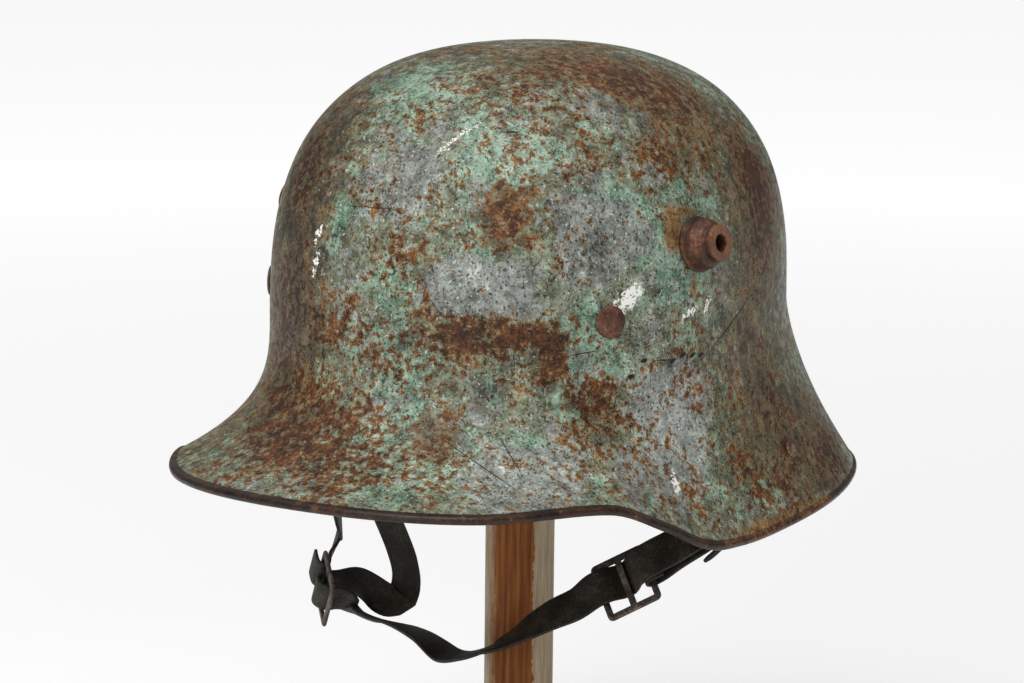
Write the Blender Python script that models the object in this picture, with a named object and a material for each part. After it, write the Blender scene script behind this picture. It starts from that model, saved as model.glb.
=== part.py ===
"""Steel helmet with a leather chin strap, held on a round wooden post with a plain foot.

Metres, +Z up. The front of the helmet faces -Y, and the wearer's left is +X. The origin is the centre of
the foot's underside, on the post's axis. Angles around the helmet run from the front towards +X.
"""

import math
from collections import namedtuple

import bmesh
import bpy
from mathutils import Matrix, Vector

MM = 0.001

# Clearances between pieces
SEAT_GAP = 0.3 * MM
INNER_GAP = 0.6 * MM

# Stand
BASE_DIAMETER = 210 * MM
BASE_THICKNESS = 22 * MM
BASE_EDGE_ROUND = 4 * MM
POST_DIAMETER = 28 * MM
POST_SOCKET_DEPTH = 14 * MM
HEAD_BLOCK_DIAMETER = 92 * MM
HEAD_BLOCK_DEPTH = 46 * MM
HEAD_SOCKET_DEPTH = 26 * MM

# Where the helmet sits on the stand
RIM_ABOVE_FLOOR = 160 * MM
HELMET_SET_BACK = 2 * MM

# Shell: heights are above the lowest point of the rim
WALL = 1.2 * MM
CROWN_HALF_WIDTH = 96 * MM
CROWN_FRONT_REACH = 108.3 * MM
CROWN_REAR_REACH = 124.4 * MM
CROWN_HEIGHT = 182.8 * MM
WAIST_HEIGHT_FRONT = 70.8 * MM
WAIST_HEIGHT_SIDE = 78.4 * MM
WAIST_HEIGHT_REAR = 80.8 * MM
PEAK_REACH = 52.2 * MM
PEAK_LIFT = 22.8 * MM
BEAD_DIAMETER = 3.4 * MM
BEAD_PROUD = 0.45 * MM

# Shape of the crown as powers: 2 would be an ellipse, and more is squarer
PLAN_POWER = 2.13
DOME_RADIAL_POWER = 2.54
DOME_HEIGHT_POWER = 2.73

# The rim, row by row around one side. Reach beyond the crown's wall is a share of PEAK_REACH, and the height
# of the bead's underside a share of PEAK_LIFT. Curl is the power of the flare: more keeps the wall upright longer.
Rim = namedtuple("Rim", "angle reach lift curl")
RIM_ROWS = (
    Rim(angle=0, reach=1.00, lift=1.00, curl=2.42),
    Rim(angle=25, reach=0.97, lift=0.99, curl=2.75),
    Rim(angle=45, reach=0.71, lift=0.98, curl=2.95),
    Rim(angle=55, reach=0.645, lift=0.58, curl=2.93),
    Rim(angle=65, reach=0.57, lift=0.12, curl=2.60),
    Rim(angle=75, reach=0.50, lift=0.00, curl=2.10),
    Rim(angle=90, reach=0.48, lift=0.03, curl=1.61),
    Rim(angle=110, reach=0.56, lift=0.20, curl=1.52),
    Rim(angle=135, reach=0.62, lift=0.38, curl=1.57),
    Rim(angle=160, reach=0.52, lift=0.40, curl=1.50),
    Rim(angle=180, reach=0.46, lift=0.34, curl=1.42),
)

# Fittings on the shell, each by its angle and its height above the lowest rim. The right side's sit a little
# further back than the left's.
LINER_RIVET_LEFT_ANGLE = 49.5
LINER_RIVET_RIGHT_ANGLE = 55
LINER_RIVET_HEIGHT = 87.1 * MM
LINER_RIVET_REAR_HEIGHT = 96 * MM
LINER_RIVET_DIAMETER = 12.4 * MM
LINER_RIVET_RISE = 1.5 * MM
LINER_RIVET_SHANK = 5 * MM
RIVET_INNER_RISE = 1.0 * MM
VENT_LUG_LEFT_ANGLE = 74.6
VENT_LUG_RIGHT_ANGLE = 80.5
VENT_LUG_HEIGHT = 112.7 * MM
VENT_LUG_DIAMETER = 21.5 * MM
VENT_LUG_LENGTH = 12.3 * MM
VENT_LUG_BORE = 6.6 * MM
VENT_LUG_TUBE = 12 * MM
VENT_LUG_PEEN = 15 * MM
VENT_LUG_SKIRT = 0.35 * MM
STRAP_LUG_ANGLE = 101.7
STRAP_LUG_HEIGHT = 27.3 * MM
STRAP_LUG_HEAD = 7 * MM
STRAP_LUG_RISE = 1.1 * MM
STRAP_LUG_SHANK = 4 * MM

# The wire loop that the strap lug carries inside the skirt
LOOP_WIRE = 3 * MM
LOOP_INNER_HEIGHT = 13 * MM
LOOP_SIDE_GAP = 1.3 * MM
LOOP_CORNER = 3.6 * MM
LOOP_TAB_WIDTH = 8 * MM
LOOP_TAB_THICKNESS = 3.9 * MM

# Chin strap and its slide buckles
STRAP_WIDTH = 15 * MM
STRAP_THICKNESS = 1.6 * MM
STRAP_DROP = 77 * MM
STRAP_POST_GAP = 11.3 * MM
BUCKLE_BAR = 2.6 * MM
BUCKLE_THICKNESS = 1.8 * MM
BUCKLE_LENGTH = 23.6 * MM
BUCKLE_SIDE_GAP = 2.6 * MM
BUCKLE_CORNER = 2.2 * MM
SEWN_LAP = 5.8 * MM  # how far the strap's sewn ends lie past the bar they fold round
SIDE_SLIP = 2.2 * MM  # how far the strap lies off the left buckle's middle

# Thong end under the left skirt
THONG_DIAMETER = 2.6 * MM

AROUND = 68
CROWN_STEPS = 10
FLARE_STEPS = 6
BEAD_STEPS = 6
TURNED_SIDES = 16
STRAP_STEP = 3.6 * MM

LEFT = 1
RIGHT = -1
UP = Vector((0, 0, 1))


def material(name, colour, roughness, metallic):
    made = bpy.data.materials.new(name)
    made.use_nodes = True
    shader = made.node_tree.nodes["Principled BSDF"]
    shader.inputs["Base Color"].default_value = (*colour, 1.0)
    shader.inputs["Roughness"].default_value = roughness
    shader.inputs["Metallic"].default_value = metallic
    return made


def add_object(name, bm, made_of, smooth_below=40):
    """The mesh as a named object, its faces pointing out and its round stretches shaded smooth."""
    bmesh.ops.recalc_face_normals(bm, faces=bm.faces)
    mesh = bpy.data.meshes.new(name)
    bm.to_mesh(mesh)
    bm.free()
    mesh.materials.append(made_of)
    mesh.shade_smooth()
    mesh.set_sharp_from_angle(angle=math.radians(smooth_below))
    obj = bpy.data.objects.new(name, mesh)
    bpy.context.scene.collection.objects.link(obj)
    return obj


def combine(obj, other, operation):
    """Joins or cuts obj with other, which stays as a helper."""
    other.hide_render = True
    other.display_type = "WIRE"
    boolean = obj.modifiers.new(operation.title(), "BOOLEAN")
    boolean.operation = operation
    boolean.object = other
    boolean.solver = "EXACT"


def skin(columns, rows, place, closed_columns=True, closed_rows=False):
    """A grid of faces whose points place(column, row) gives. A closed direction joins its last face to its first."""
    bm = bmesh.new()
    bmesh.ops.create_grid(bm, x_segments=columns, y_segments=rows, size=1)
    for vert in bm.verts:
        column = round((vert.co.x + 1) / 2 * columns)
        row = round((vert.co.y + 1) / 2 * rows)
        if closed_columns:
            column %= columns
        if closed_rows:
            row %= rows
        vert.co = place(column, row)
    bmesh.ops.remove_doubles(bm, verts=bm.verts, dist=0.001 * MM)
    ends = [edge for edge in bm.edges if edge.is_boundary]
    if ends:
        bmesh.ops.holes_fill(bm, edges=ends)
    return bm


def turned(profile, frame, sides=TURNED_SIDES, ring=False):
    """A profile of (radius, height) pairs turned about the frame's Z axis. A ring's profile closes on itself."""

    def place(column, row):
        radius, height = profile[row]
        turn = 2 * math.pi * column / sides
        return frame @ Vector((radius * math.cos(turn), radius * math.sin(turn), height))

    return skin(sides, len(profile) - (not ring), place, closed_rows=ring)


def swept(sections):
    """A closed solid through sections, each a ring of as many points."""
    sides = len(sections[0])
    return skin(sides, len(sections) - 1, lambda column, row: sections[row][column])


def smooth_between(values, places, at):
    """The value at a place, on a smooth curve through the given ones. The ends are mirrored, as the helmet is."""
    last = len(places) - 1
    mirrored = [2 * places[0] - places[1], *places, 2 * places[last] - places[last - 1]]
    padded = [values[1], *values, values[last - 1]]
    step = 1
    while step < last and mirrored[step + 1] < at:
        step += 1
    left, right = mirrored[step], mirrored[step + 1]
    span = right - left
    share = (at - left) / span
    slope_left = (padded[step + 1] - padded[step - 1]) / (right - mirrored[step - 1]) * span
    slope_right = (padded[step + 2] - padded[step]) / (mirrored[step + 2] - left) * span
    rise = padded[step + 1] - padded[step]
    bend = slope_left + slope_right - 2 * rise
    return padded[step] + share * (slope_left + share * ((rise - slope_left - bend) + share * bend))


def rim_value(column, angle):
    """A column of RIM_ROWS at an angle in degrees, the same on both sides."""
    off_front = abs((angle + 180) % 360 - 180)
    return smooth_between([getattr(row, column) for row in RIM_ROWS], [row.angle for row in RIM_ROWS], off_front)


def crown_reach(angle):
    """How far the crown's wall stands from the helmet's axis at its waist."""
    side, ahead = abs(math.sin(math.radians(angle))), math.cos(math.radians(angle))
    reach = CROWN_FRONT_REACH if ahead > 0 else CROWN_REAR_REACH
    total = (side / CROWN_HALF_WIDTH) ** PLAN_POWER + (abs(ahead) / reach) ** PLAN_POWER
    return total ** (-1 / PLAN_POWER)


def waist_height(angle):
    """Height at which the crown's dome turns into the flare."""
    ahead = math.cos(math.radians(angle))
    end = WAIST_HEIGHT_FRONT if ahead > 0 else WAIST_HEIGHT_REAR
    return WAIST_HEIGHT_SIDE + (end - WAIST_HEIGHT_SIDE) * ahead**2


def flare_end(angle):
    """Reach and height of the bead's centre."""
    bead = BEAD_DIAMETER / 2
    reach = crown_reach(angle) + rim_value("reach", angle) * PEAK_REACH - bead
    return reach, rim_value("lift", angle) * PEAK_LIFT + bead


def outer_radius(angle, height):
    """Distance of the shell's outer face from the helmet's axis."""
    reach, waist = crown_reach(angle), waist_height(angle)
    if height >= waist:
        up = min(1, (height - waist) / (CROWN_HEIGHT - waist))
        return reach * (1 - up**DOME_HEIGHT_POWER) ** (1 / DOME_RADIAL_POWER)
    rim_reach, rim_height = flare_end(angle)
    down = (waist - height) / (waist - rim_height)
    return reach + (rim_reach - reach) * down ** rim_value("curl", angle)


def outward(angle, radius, height):
    """A point in the part's frame from its angle, distance from the helmet's axis and height above the lowest rim."""
    turn = math.radians(angle)
    return Vector(
        (radius * math.sin(turn), HELMET_SET_BACK - radius * math.cos(turn), RIM_ABOVE_FLOOR + height)
    )


def on_shell(angle, height):
    """Frame on the shell's outer face, with Z pointing straight out, X around the helmet and Y up the wall."""
    small_angle, small_height = 0.05, 0.05 * MM
    point = outward(angle, outer_radius(angle, height), height)
    around = outward(angle + small_angle, outer_radius(angle + small_angle, height), height)
    around = (around - outward(angle - small_angle, outer_radius(angle - small_angle, height), height)).normalized()
    above = outward(angle, outer_radius(angle, height + small_height), height + small_height)
    above = (above - outward(angle, outer_radius(angle, height - small_height), height - small_height)).normalized()
    out = around.cross(above).normalized()
    above = out.cross(around)
    turn = Matrix((around, above, out)).transposed().to_4x4()
    return Matrix.Translation(point) @ turn


def shell_section(angle):
    """The wall's closed section at an angle, from the crown down the outside, round the bead and up the inside."""
    reach, waist = crown_reach(angle), waist_height(angle)
    rim_reach, rim_height = flare_end(angle)
    curl = rim_value("curl", angle)
    outside = []
    for step in range(CROWN_STEPS + 1):
        share = step / CROWN_STEPS
        turn = math.pi / 2 * (share - 0.06 * math.sin(2 * math.pi * share))  # finer at the top and at the waist
        across = math.sin(turn) ** (2 / DOME_RADIAL_POWER)
        up = max(0.0, math.cos(turn)) ** (2 / DOME_HEIGHT_POWER)
        outside.append(Vector((reach * across, waist + (CROWN_HEIGHT - waist) * up)))
    for step in range(1, FLARE_STEPS + 1):
        down = step / FLARE_STEPS
        outside.append(Vector((reach + (rim_reach - reach) * down**curl, waist + (rim_height - waist) * down)))
    normals = []
    for index, point in enumerate(outside):
        before = outside[max(0, index - 1)]
        after = outside[min(len(outside) - 1, index + 1)]
        along = (after - before).normalized()
        normals.append(Vector((-along.y, along.x)))
    normals[0] = Vector((0, 1))
    inside = [point - normal * WALL for point, normal in zip(outside, normals)]
    inside[0] = Vector((0, CROWN_HEIGHT - WALL))
    out, bead = normals[-1], BEAD_DIAMETER / 2
    tip = Vector((out.y, -out.x))
    centre = outside[-1] - out * (bead - BEAD_PROUD)
    first = -math.acos((bead - BEAD_PROUD) / bead)
    last = math.pi + math.acos((WALL - bead + BEAD_PROUD) / bead)
    roll = []
    for step in range(BEAD_STEPS + 1):
        turn = first + (last - first) * step / BEAD_STEPS
        roll.append(centre + (out * math.cos(turn) + tip * math.sin(turn)) * bead)
    return outside[:-1] + roll + inside[-2::-1]


def add_shell(steel):
    sections = [shell_section(360 * step / AROUND) for step in range(AROUND)]

    def place(column, row):
        point = sections[column][row]
        return outward(360 * column / AROUND, point.x, point.y)

    return add_object("shell", skin(AROUND, len(sections[0]) - 1, place), steel)


def cut_hole(shell, frame, diameter):
    """Drills the wall square to its face."""
    depth = 5 * WALL
    bm = turned([(0, -depth), (diameter / 2, -depth), (diameter / 2, depth), (0, depth)], frame)
    cutter = add_object(f"{shell.name}_cutter", bm, shell.data.materials[0])
    combine(shell, cutter, "DIFFERENCE")


def rivet_profile(head, rise, shank):
    """Flat round head outside, shank through the wall and a plain peened end inside, each clear of the wall."""
    inside = -WALL - INNER_GAP
    return [
        (0, SEAT_GAP + rise),
        (0.30 * head, SEAT_GAP + rise * 0.95),
        (0.44 * head, SEAT_GAP + rise * 0.68),
        (0.50 * head, SEAT_GAP + rise * 0.30),
        (0.50 * head, SEAT_GAP),
        (0.50 * shank, SEAT_GAP),
        (0.50 * shank, inside),
        (0.40 * head, inside),
        (0.40 * head, inside - RIVET_INNER_RISE * 0.6),
        (0.30 * head, inside - RIVET_INNER_RISE),
        (0, inside - RIVET_INNER_RISE),
    ]


def add_liner_rivet(name, shell, steel, angle, height):
    frame = on_shell(angle, height)
    cut_hole(shell, frame, LINER_RIVET_SHANK + 2 * SEAT_GAP)
    profile = rivet_profile(LINER_RIVET_DIAMETER, LINER_RIVET_RISE, LINER_RIVET_SHANK)
    return add_object(name, turned(profile, frame), steel)


# The vent lug's outside, from its base to its tip: radius as a share of the base's, height as a share of the length
LugRow = namedtuple("LugRow", "radius height")
VENT_LUG_ROWS = (
    LugRow(radius=1.00, height=0.10),
    LugRow(radius=0.93, height=0.13),
    LugRow(radius=0.92, height=0.36),
    LugRow(radius=0.85, height=0.54),
    LugRow(radius=0.72, height=0.67),
    LugRow(radius=0.64, height=0.73),
    LugRow(radius=0.635, height=0.82),
    LugRow(radius=0.665, height=0.86),
    LugRow(radius=0.655, height=0.96),
    LugRow(radius=0.60, height=1.00),
)


def add_vent_lug(name, shell, steel, angle):
    """Hollow stepped lug: its tube passes through the wall and is peened over inside."""
    frame = on_shell(angle, VENT_LUG_HEIGHT)
    cut_hole(shell, frame, VENT_LUG_TUBE + 2 * SEAT_GAP)
    base, bore, tube = VENT_LUG_DIAMETER / 2, VENT_LUG_BORE / 2, VENT_LUG_TUBE / 2
    inside = -WALL - INNER_GAP
    profile = [(tube, SEAT_GAP), (base, SEAT_GAP - VENT_LUG_SKIRT)]
    profile += [(row.radius * base, row.height * VENT_LUG_LENGTH) for row in VENT_LUG_ROWS]
    mouth = 1.15 * bore
    profile += [(mouth, VENT_LUG_LENGTH), (bore, VENT_LUG_LENGTH - (mouth - bore))]
    profile += [(bore, inside - RIVET_INNER_RISE), (VENT_LUG_PEEN / 2, inside - RIVET_INNER_RISE)]
    profile += [(VENT_LUG_PEEN / 2, inside), (tube, inside)]
    return add_object(name, turned(profile, frame, ring=True), steel)


def loop_bar(side):
    """Centre of the lug loop's lower bar, where the strap hangs."""
    wall = on_shell(side * STRAP_LUG_ANGLE, STRAP_LUG_HEIGHT)
    hinge = wall @ Vector((0, 0, -WALL - INNER_GAP - RIVET_INNER_RISE - LOOP_WIRE))
    return hinge - UP * (LOOP_INNER_HEIGHT + LOOP_WIRE)


def add_strap_lug(name, shell, steel, side):
    """Rivet through the skirt with a tab inside, and the wire loop hanging from the tab."""
    frame = on_shell(side * STRAP_LUG_ANGLE, STRAP_LUG_HEIGHT)
    cut_hole(shell, frame, STRAP_LUG_SHANK + 2 * SEAT_GAP)
    rivet = add_object(
        name, turned(rivet_profile(STRAP_LUG_HEAD, STRAP_LUG_RISE, STRAP_LUG_SHANK), frame, sides=12), steel
    )
    low = loop_bar(side)
    half_width = STRAP_WIDTH / 2 + LOOP_SIDE_GAP + LOOP_WIRE / 2
    height = LOOP_INNER_HEIGHT + LOOP_WIRE
    corner, wire, sides, turns = LOOP_CORNER, LOOP_WIRE / 2, 8, 4
    centres = []
    for across, up, start in ((1, 0, -90), (1, 1, 0), (-1, 1, 90), (-1, 0, 180)):
        bend = Vector((0, across * (half_width - corner), corner if up == 0 else height - corner))
        for step in range(turns + 1):
            turn = math.radians(start + 90 * step / turns)
            out = Vector((0, math.cos(turn), math.sin(turn)))
            centres.append((bend + out * corner, out))

    def place(column, row):
        centre, out = centres[row]
        turn = 2 * math.pi * column / sides
        return low + centre + (out * math.cos(turn) + Vector((1, 0, 0)) * math.sin(turn)) * wire

    loop = add_object(f"{name}_loop", skin(sides, len(centres), place, closed_rows=True), steel)
    bm = bmesh.new()
    hinge = low + UP * height
    tab_end = frame @ Vector((0, 0, -WALL - INNER_GAP - 0.3 * RIVET_INNER_RISE))
    middle, reach = (hinge + tab_end) / 2, (tab_end - hinge).length
    turn = (tab_end - hinge).to_track_quat("X", "Z").to_matrix().to_4x4()
    size = Matrix.Diagonal((reach, LOOP_TAB_WIDTH, LOOP_TAB_THICKNESS, 1))
    bmesh.ops.create_cube(bm, size=1, matrix=Matrix.Translation(middle) @ turn @ size)
    tab = add_object(f"{name}_tab", bm, steel)
    combine(rivet, tab, "UNION")
    combine(rivet, loop, "UNION")
    return rivet


# Slide buckles. Each lies at its place on the strap's route, which is given as for the strap's own points, with
# its bars' direction as a heading in plan and a rise, and the direction of its length likewise.
BucklePlace = namedtuple("BucklePlace", "across forward drop heading rise length_heading length_rise")
BUCKLE_LEFT_PLACE = BucklePlace(
    across=0.4875, forward=0.525, drop=0.504, heading=149, rise=46, length_heading=25, length_rise=28
)
BUCKLE_RIGHT_PLACE = BucklePlace(
    across=-1.076, forward=0.039, drop=0.89, heading=321.7, rise=54.3, length_heading=135.8, length_rise=35.5
)


def direction(heading, rise):
    turn, up = math.radians(heading), math.radians(rise)
    return Vector((math.cos(up) * math.cos(turn), math.cos(up) * math.sin(turn), math.sin(up)))


def strap_place(across, forward, drop):
    """A point of the strap's route from its shares: of the lug loops' distance from the middle, of the way from
    their line forward to the post's front, and of the strap's drop below the loops."""
    bar = loop_bar(LEFT)
    to_post_front = bar.y + POST_DIAMETER / 2 + STRAP_POST_GAP
    return Vector((across * bar.x, bar.y - forward * to_post_front, bar.z - drop * STRAP_DROP))


def buckle_frame(place):
    """Frame of a buckle: X along its length, Y along its bars and Z out of its face."""
    bars = direction(place.heading, place.rise)
    along = direction(place.length_heading, place.length_rise)
    along = (along - bars * along.dot(bars)).normalized()
    face = along.cross(bars)
    centre = strap_place(place.across, place.forward, place.drop)
    return Matrix.Translation(centre) @ Matrix((along, bars, face)).transposed().to_4x4()


def buckle_bar_spacing():
    return (BUCKLE_LENGTH - BUCKLE_BAR) / 2


def add_buckle(name, steel, place):
    """Flat frame with rounded corners and two windows, one each side of the centre bar."""
    half_length = BUCKLE_LENGTH / 2
    half_width = STRAP_WIDTH / 2 + BUCKLE_SIDE_GAP + BUCKLE_BAR
    frame = buckle_frame(place)
    turns = 4
    outline = []
    for x, y, start in ((1, 1, 0), (-1, 1, 90), (-1, -1, 180), (1, -1, 270)):
        bend = Vector((x * (half_length - BUCKLE_CORNER), y * (half_width - BUCKLE_CORNER), 0))
        for step in range(turns + 1):
            turn = math.radians(start + 90 * step / turns)
            outline.append(bend + Vector((math.cos(turn), math.sin(turn), 0)) * BUCKLE_CORNER)
    half, edge = BUCKLE_THICKNESS / 2, 0.3 * BUCKLE_THICKNESS
    sections = []
    for height, inset in ((-half, edge), (-half + edge, 0), (half - edge, 0), (half, edge)):
        ring = []
        for point in outline:
            scaled = Vector((point.x * (1 - inset / half_length), point.y * (1 - inset / half_width), height))
            ring.append(frame @ scaled)
        sections.append(ring)
    plate = add_object(name, swept(sections), steel)
    window_length = buckle_bar_spacing() - BUCKLE_BAR
    window_width = 2 * (half_width - BUCKLE_BAR)
    for side in (1, -1):
        bm = bmesh.new()
        size = Matrix.Diagonal((window_length, window_width, 4 * BUCKLE_THICKNESS, 1))
        centre = Matrix.Translation((side * buckle_bar_spacing() / 2, 0, 0))
        bmesh.ops.create_cube(bm, size=1, matrix=frame @ centre @ size)
        window = add_object(f"{name}_window", bm, steel)
        combine(plate, window, "DIFFERENCE")
    return plate


# The strap's free run from the left buckle, past the front of the post, to the right buckle. Places are shares as
# in strap_place, and the strap's width points along the heading and rise.
RoutePoint = namedtuple("RoutePoint", "across forward drop heading rise")
MAIN_RUN = (
    RoutePoint(across=0.325, forward=0.675, drop=0.617, heading=135, rise=44),
    RoutePoint(across=0.234, forward=0.766, drop=0.687, heading=121, rise=40),
    RoutePoint(across=0.145, forward=0.857, drop=0.768, heading=104, rise=32),
    RoutePoint(across=0.076, forward=0.925, drop=0.837, heading=89, rise=21),
    RoutePoint(across=0.007, forward=1.000, drop=0.886, heading=77, rise=10),
    RoutePoint(across=-0.082, forward=0.935, drop=0.940, heading=72, rise=8),
    RoutePoint(across=-0.228, forward=0.790, drop=1.000, heading=68, rise=6),
    RoutePoint(across=-0.380, forward=0.620, drop=0.968, heading=68, rise=-8),
    RoutePoint(across=-0.620, forward=0.265, drop=0.985, heading=70, rise=-14),
    RoutePoint(across=-0.852, forward=0.020, drop=1.013, heading=80, rise=-22),
    RoutePoint(across=-0.968, forward=-0.095, drop=1.004, heading=104, rise=-38),
)

# The slack of the strap between the right buckle and the right lug's loop: back from the buckle, down round a
# fold, and up the inner side of the loop
SLACK_RUN = (
    RoutePoint(across=-1.000, forward=-0.195, drop=0.860, heading=150, rise=-59),
    RoutePoint(across=-0.930, forward=-0.215, drop=0.895, heading=168, rise=-62),
    RoutePoint(across=-0.870, forward=-0.260, drop=0.955, heading=205, rise=-60),
    RoutePoint(across=-0.840, forward=-0.330, drop=0.965, heading=228, rise=-48),
    RoutePoint(across=-0.822, forward=-0.410, drop=0.905, heading=244, rise=-28),
    RoutePoint(across=-0.826, forward=-0.430, drop=0.800, heading=258, rise=-10),
    RoutePoint(across=-0.848, forward=-0.375, drop=0.640, heading=263, rise=-4),
    RoutePoint(across=-0.875, forward=-0.280, drop=0.480, heading=265, rise=0),
    RoutePoint(across=-0.930, forward=-0.120, drop=0.220, heading=268, rise=0),
)

# The short end from the outer side of the right loop down to the right buckle
SHORT_END = (
    RoutePoint(across=-1.060, forward=0.000, drop=0.150, heading=274, rise=0),
    RoutePoint(across=-1.058, forward=-0.050, drop=0.300, heading=283, rise=0),
    RoutePoint(across=-1.071, forward=-0.140, drop=0.455, heading=296, rise=0),
)

# Doubled strap between the left buckle and the left loop: share of the way, with the two layers' distance from
# their middle as shares of the strap's thickness
DoubledPoint = namedtuple("DoubledPoint", "way heading rise front back")
DOUBLED_RUN = (
    DoubledPoint(way=0.34, heading=143, rise=44, front=2.00, back=1.35),
    DoubledPoint(way=0.52, heading=128, rise=38, front=1.20, back=1.20),
    DoubledPoint(way=0.70, heading=110, rise=25, front=1.10, back=1.10),
    DoubledPoint(way=0.87, heading=96, rise=8, front=1.30, back=1.30),
)

# The strap's passes through the buckles, seen along their bars: along the buckle's length and out of its face,
# as shares of the distance between bars and of the layer distance
Pass = namedtuple("Pass", "along out")
LEFT_BUCKLE_PASS = (
    Pass(along=0.90, out=2.55),
    Pass(along=0.60, out=1.85),
    Pass(along=0.39, out=0.35),
    Pass(along=0.20, out=-0.75),
    Pass(along=0.00, out=-1.00),
    Pass(along=-0.25, out=-0.72),
    Pass(along=-0.60, out=0.55),
    Pass(along=-1.00, out=1.00),
    Pass(along=-1.35, out=0.75),
)
RIGHT_BUCKLE_PASS = (
    Pass(along=-0.54, out=2.4),
    Pass(along=-0.52, out=0.7),
    Pass(along=-0.40, out=-1.1),
    Pass(along=-0.10, out=-2.15),
    Pass(along=0.22, out=-1.5),
    Pass(along=0.33, out=0.0),
    Pass(along=0.33, out=2.4),
)

# Where the short end swings in to the right buckle's outer bar, as shares of the distance between bars, with the
# strap's width as on the route
Approach = namedtuple("Approach", "along side out heading rise")
SHORT_END_APPROACH = (
    Approach(along=2.45, side=0.45, out=0.90, heading=311, rise=12),
    Approach(along=1.92, side=0.14, out=0.62, heading=318, rise=36),
    Approach(along=1.45, side=0.02, out=0.34, heading=321, rise=52),
)


def wrap_radius(bar):
    """Radius of the strap's middle layer where it goes round a bar, clear of the bar's corners."""
    return bar + SEAT_GAP + STRAP_THICKNESS / 2


def layer_distance():
    """Distance of the strap's middle from a buckle's middle plane, where it lies on a bar."""
    return BUCKLE_THICKNESS / 2 + SEAT_GAP + STRAP_THICKNESS / 2


def route_station(point):
    return strap_place(point.across, point.forward, point.drop), direction(point.heading, point.rise)


def arc_stations(centre, start, towards, radius, degrees, steps, width):
    """Stations on an arc from the start direction, turning towards the other one."""
    made = []
    for step in range(steps + 1):
        turn = math.radians(degrees * step / steps)
        made.append((centre + (start * math.cos(turn) + towards * math.sin(turn)) * radius, width))
    return made


def strap_stations():
    """The whole strap's middle line as (point, width direction), from its sewn end at the left buckle."""
    left, right = buckle_frame(BUCKLE_LEFT_PLACE), buckle_frame(BUCKLE_RIGHT_PLACE)
    along, bars, face = (left.to_3x3().col[axis] for axis in range(3))
    spacing, layer = buckle_bar_spacing(), layer_distance()
    corner = math.hypot(BUCKLE_BAR, BUCKLE_THICKNESS) / 2
    wrap, loop_wrap = wrap_radius(corner), wrap_radius(LOOP_WIRE / 2)
    shift = bars * SIDE_SLIP
    end_bar = left.translation + along * spacing + shift
    left_loop, right_loop = loop_bar(LEFT), loop_bar(RIGHT)
    to_loop = left_loop - (left.translation + shift)
    loop_out = Vector((to_loop.x, 0, to_loop.z)).normalized()
    loop_front = Vector((-loop_out.z, 0, loop_out.x))
    backward = Vector((0, 1, 0))

    doubled = []
    for point in DOUBLED_RUN:
        width = direction(point.heading, point.rise)
        width = (width - loop_out * width.dot(loop_out)).normalized()
        out = to_loop.normalized().cross(width).normalized()
        doubled.append((left.translation + shift + to_loop * point.way, width, out, point))

    stations = [(end_bar + along * SEWN_LAP + face * wrap, bars)]
    stations += arc_stations(end_bar, face, -along, wrap, 180, 6, bars)
    for middle, width, out, point in doubled:
        stations.append((middle - out * point.back * STRAP_THICKNESS, width))
    stations += arc_stations(left_loop, -loop_front, loop_out, loop_wrap, 180, 6, backward)
    for middle, width, out, point in reversed(doubled):
        stations.append((middle + out * point.front * STRAP_THICKNESS, width))
    for point in LEFT_BUCKLE_PASS:
        stations.append((left.translation + shift + along * point.along * spacing + face * point.out * layer, bars))
    stations += [route_station(point) for point in MAIN_RUN]

    along, bars, face = (right.to_3x3().col[axis] for axis in range(3))
    for point in RIGHT_BUCKLE_PASS:
        stations.append((right.translation + along * point.along * spacing + face * point.out * layer, -bars))
    stations += [route_station(point) for point in SLACK_RUN]
    inward = Vector((1, 0, 0))
    stations += arc_stations(right_loop, inward, UP, loop_wrap, 180, 6, -backward)
    stations += [route_station(point) for point in SHORT_END]
    end_bar = right.translation + along * spacing
    for point in SHORT_END_APPROACH:
        offset = along * point.along + bars * point.side + face * point.out
        stations.append((right.translation + offset * spacing, direction(point.heading, point.rise)))
    stations += arc_stations(end_bar, face, -along, wrap, 180, 6, bars)
    stations.append((end_bar - face * wrap + along * SEWN_LAP, bars))
    return stations


def smooth_route(stations):
    """Points a few millimetres apart on a smooth curve through the stations, each with its width direction."""
    points = [point for point, width in stations]
    widths = [width for point, width in stations]
    points = [2 * points[0] - points[1], *points, 2 * points[-1] - points[-2]]
    widths = [widths[0], *widths, widths[-1]]
    made = []
    for index in range(1, len(points) - 2):
        before, start, end, after = points[index - 1 : index + 3]
        lengths = [max((b - a).length, STRAP_THICKNESS / 2) for a, b in ((before, start), (start, end), (end, after))]
        slope_start = ((end - start) / lengths[1] * lengths[0] + (start - before) / lengths[0] * lengths[1]) / (
            lengths[0] + lengths[1]
        )
        slope_end = ((after - end) / lengths[2] * lengths[1] + (end - start) / lengths[1] * lengths[2]) / (
            lengths[1] + lengths[2]
        )
        slope_start, slope_end = slope_start * lengths[1], slope_end * lengths[1]
        steps = max(1, math.ceil((end - start).length / STRAP_STEP))
        for step in range(steps + (index == len(points) - 3)):
            share = step / steps
            rise = end - start
            bend = slope_start + slope_end - 2 * rise
            point = start + share * (slope_start + share * ((rise - slope_start - bend) + share * bend))
            made.append((point, widths[index].lerp(widths[index + 1], share)))
    return made


def ribbon_sections(route, width, thickness):
    """Rectangular sections along a route, square to it."""
    sections = []
    for index, (point, across) in enumerate(route):
        before = route[max(0, index - 1)][0]
        after = route[min(len(route) - 1, index + 1)][0]
        along = (after - before).normalized()
        side = (across - along * across.dot(along)).normalized() * width / 2
        out = along.cross(side).normalized() * thickness / 2
        sections.append([point + side + out, point - side + out, point - side - out, point + side - out])
    return sections


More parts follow.
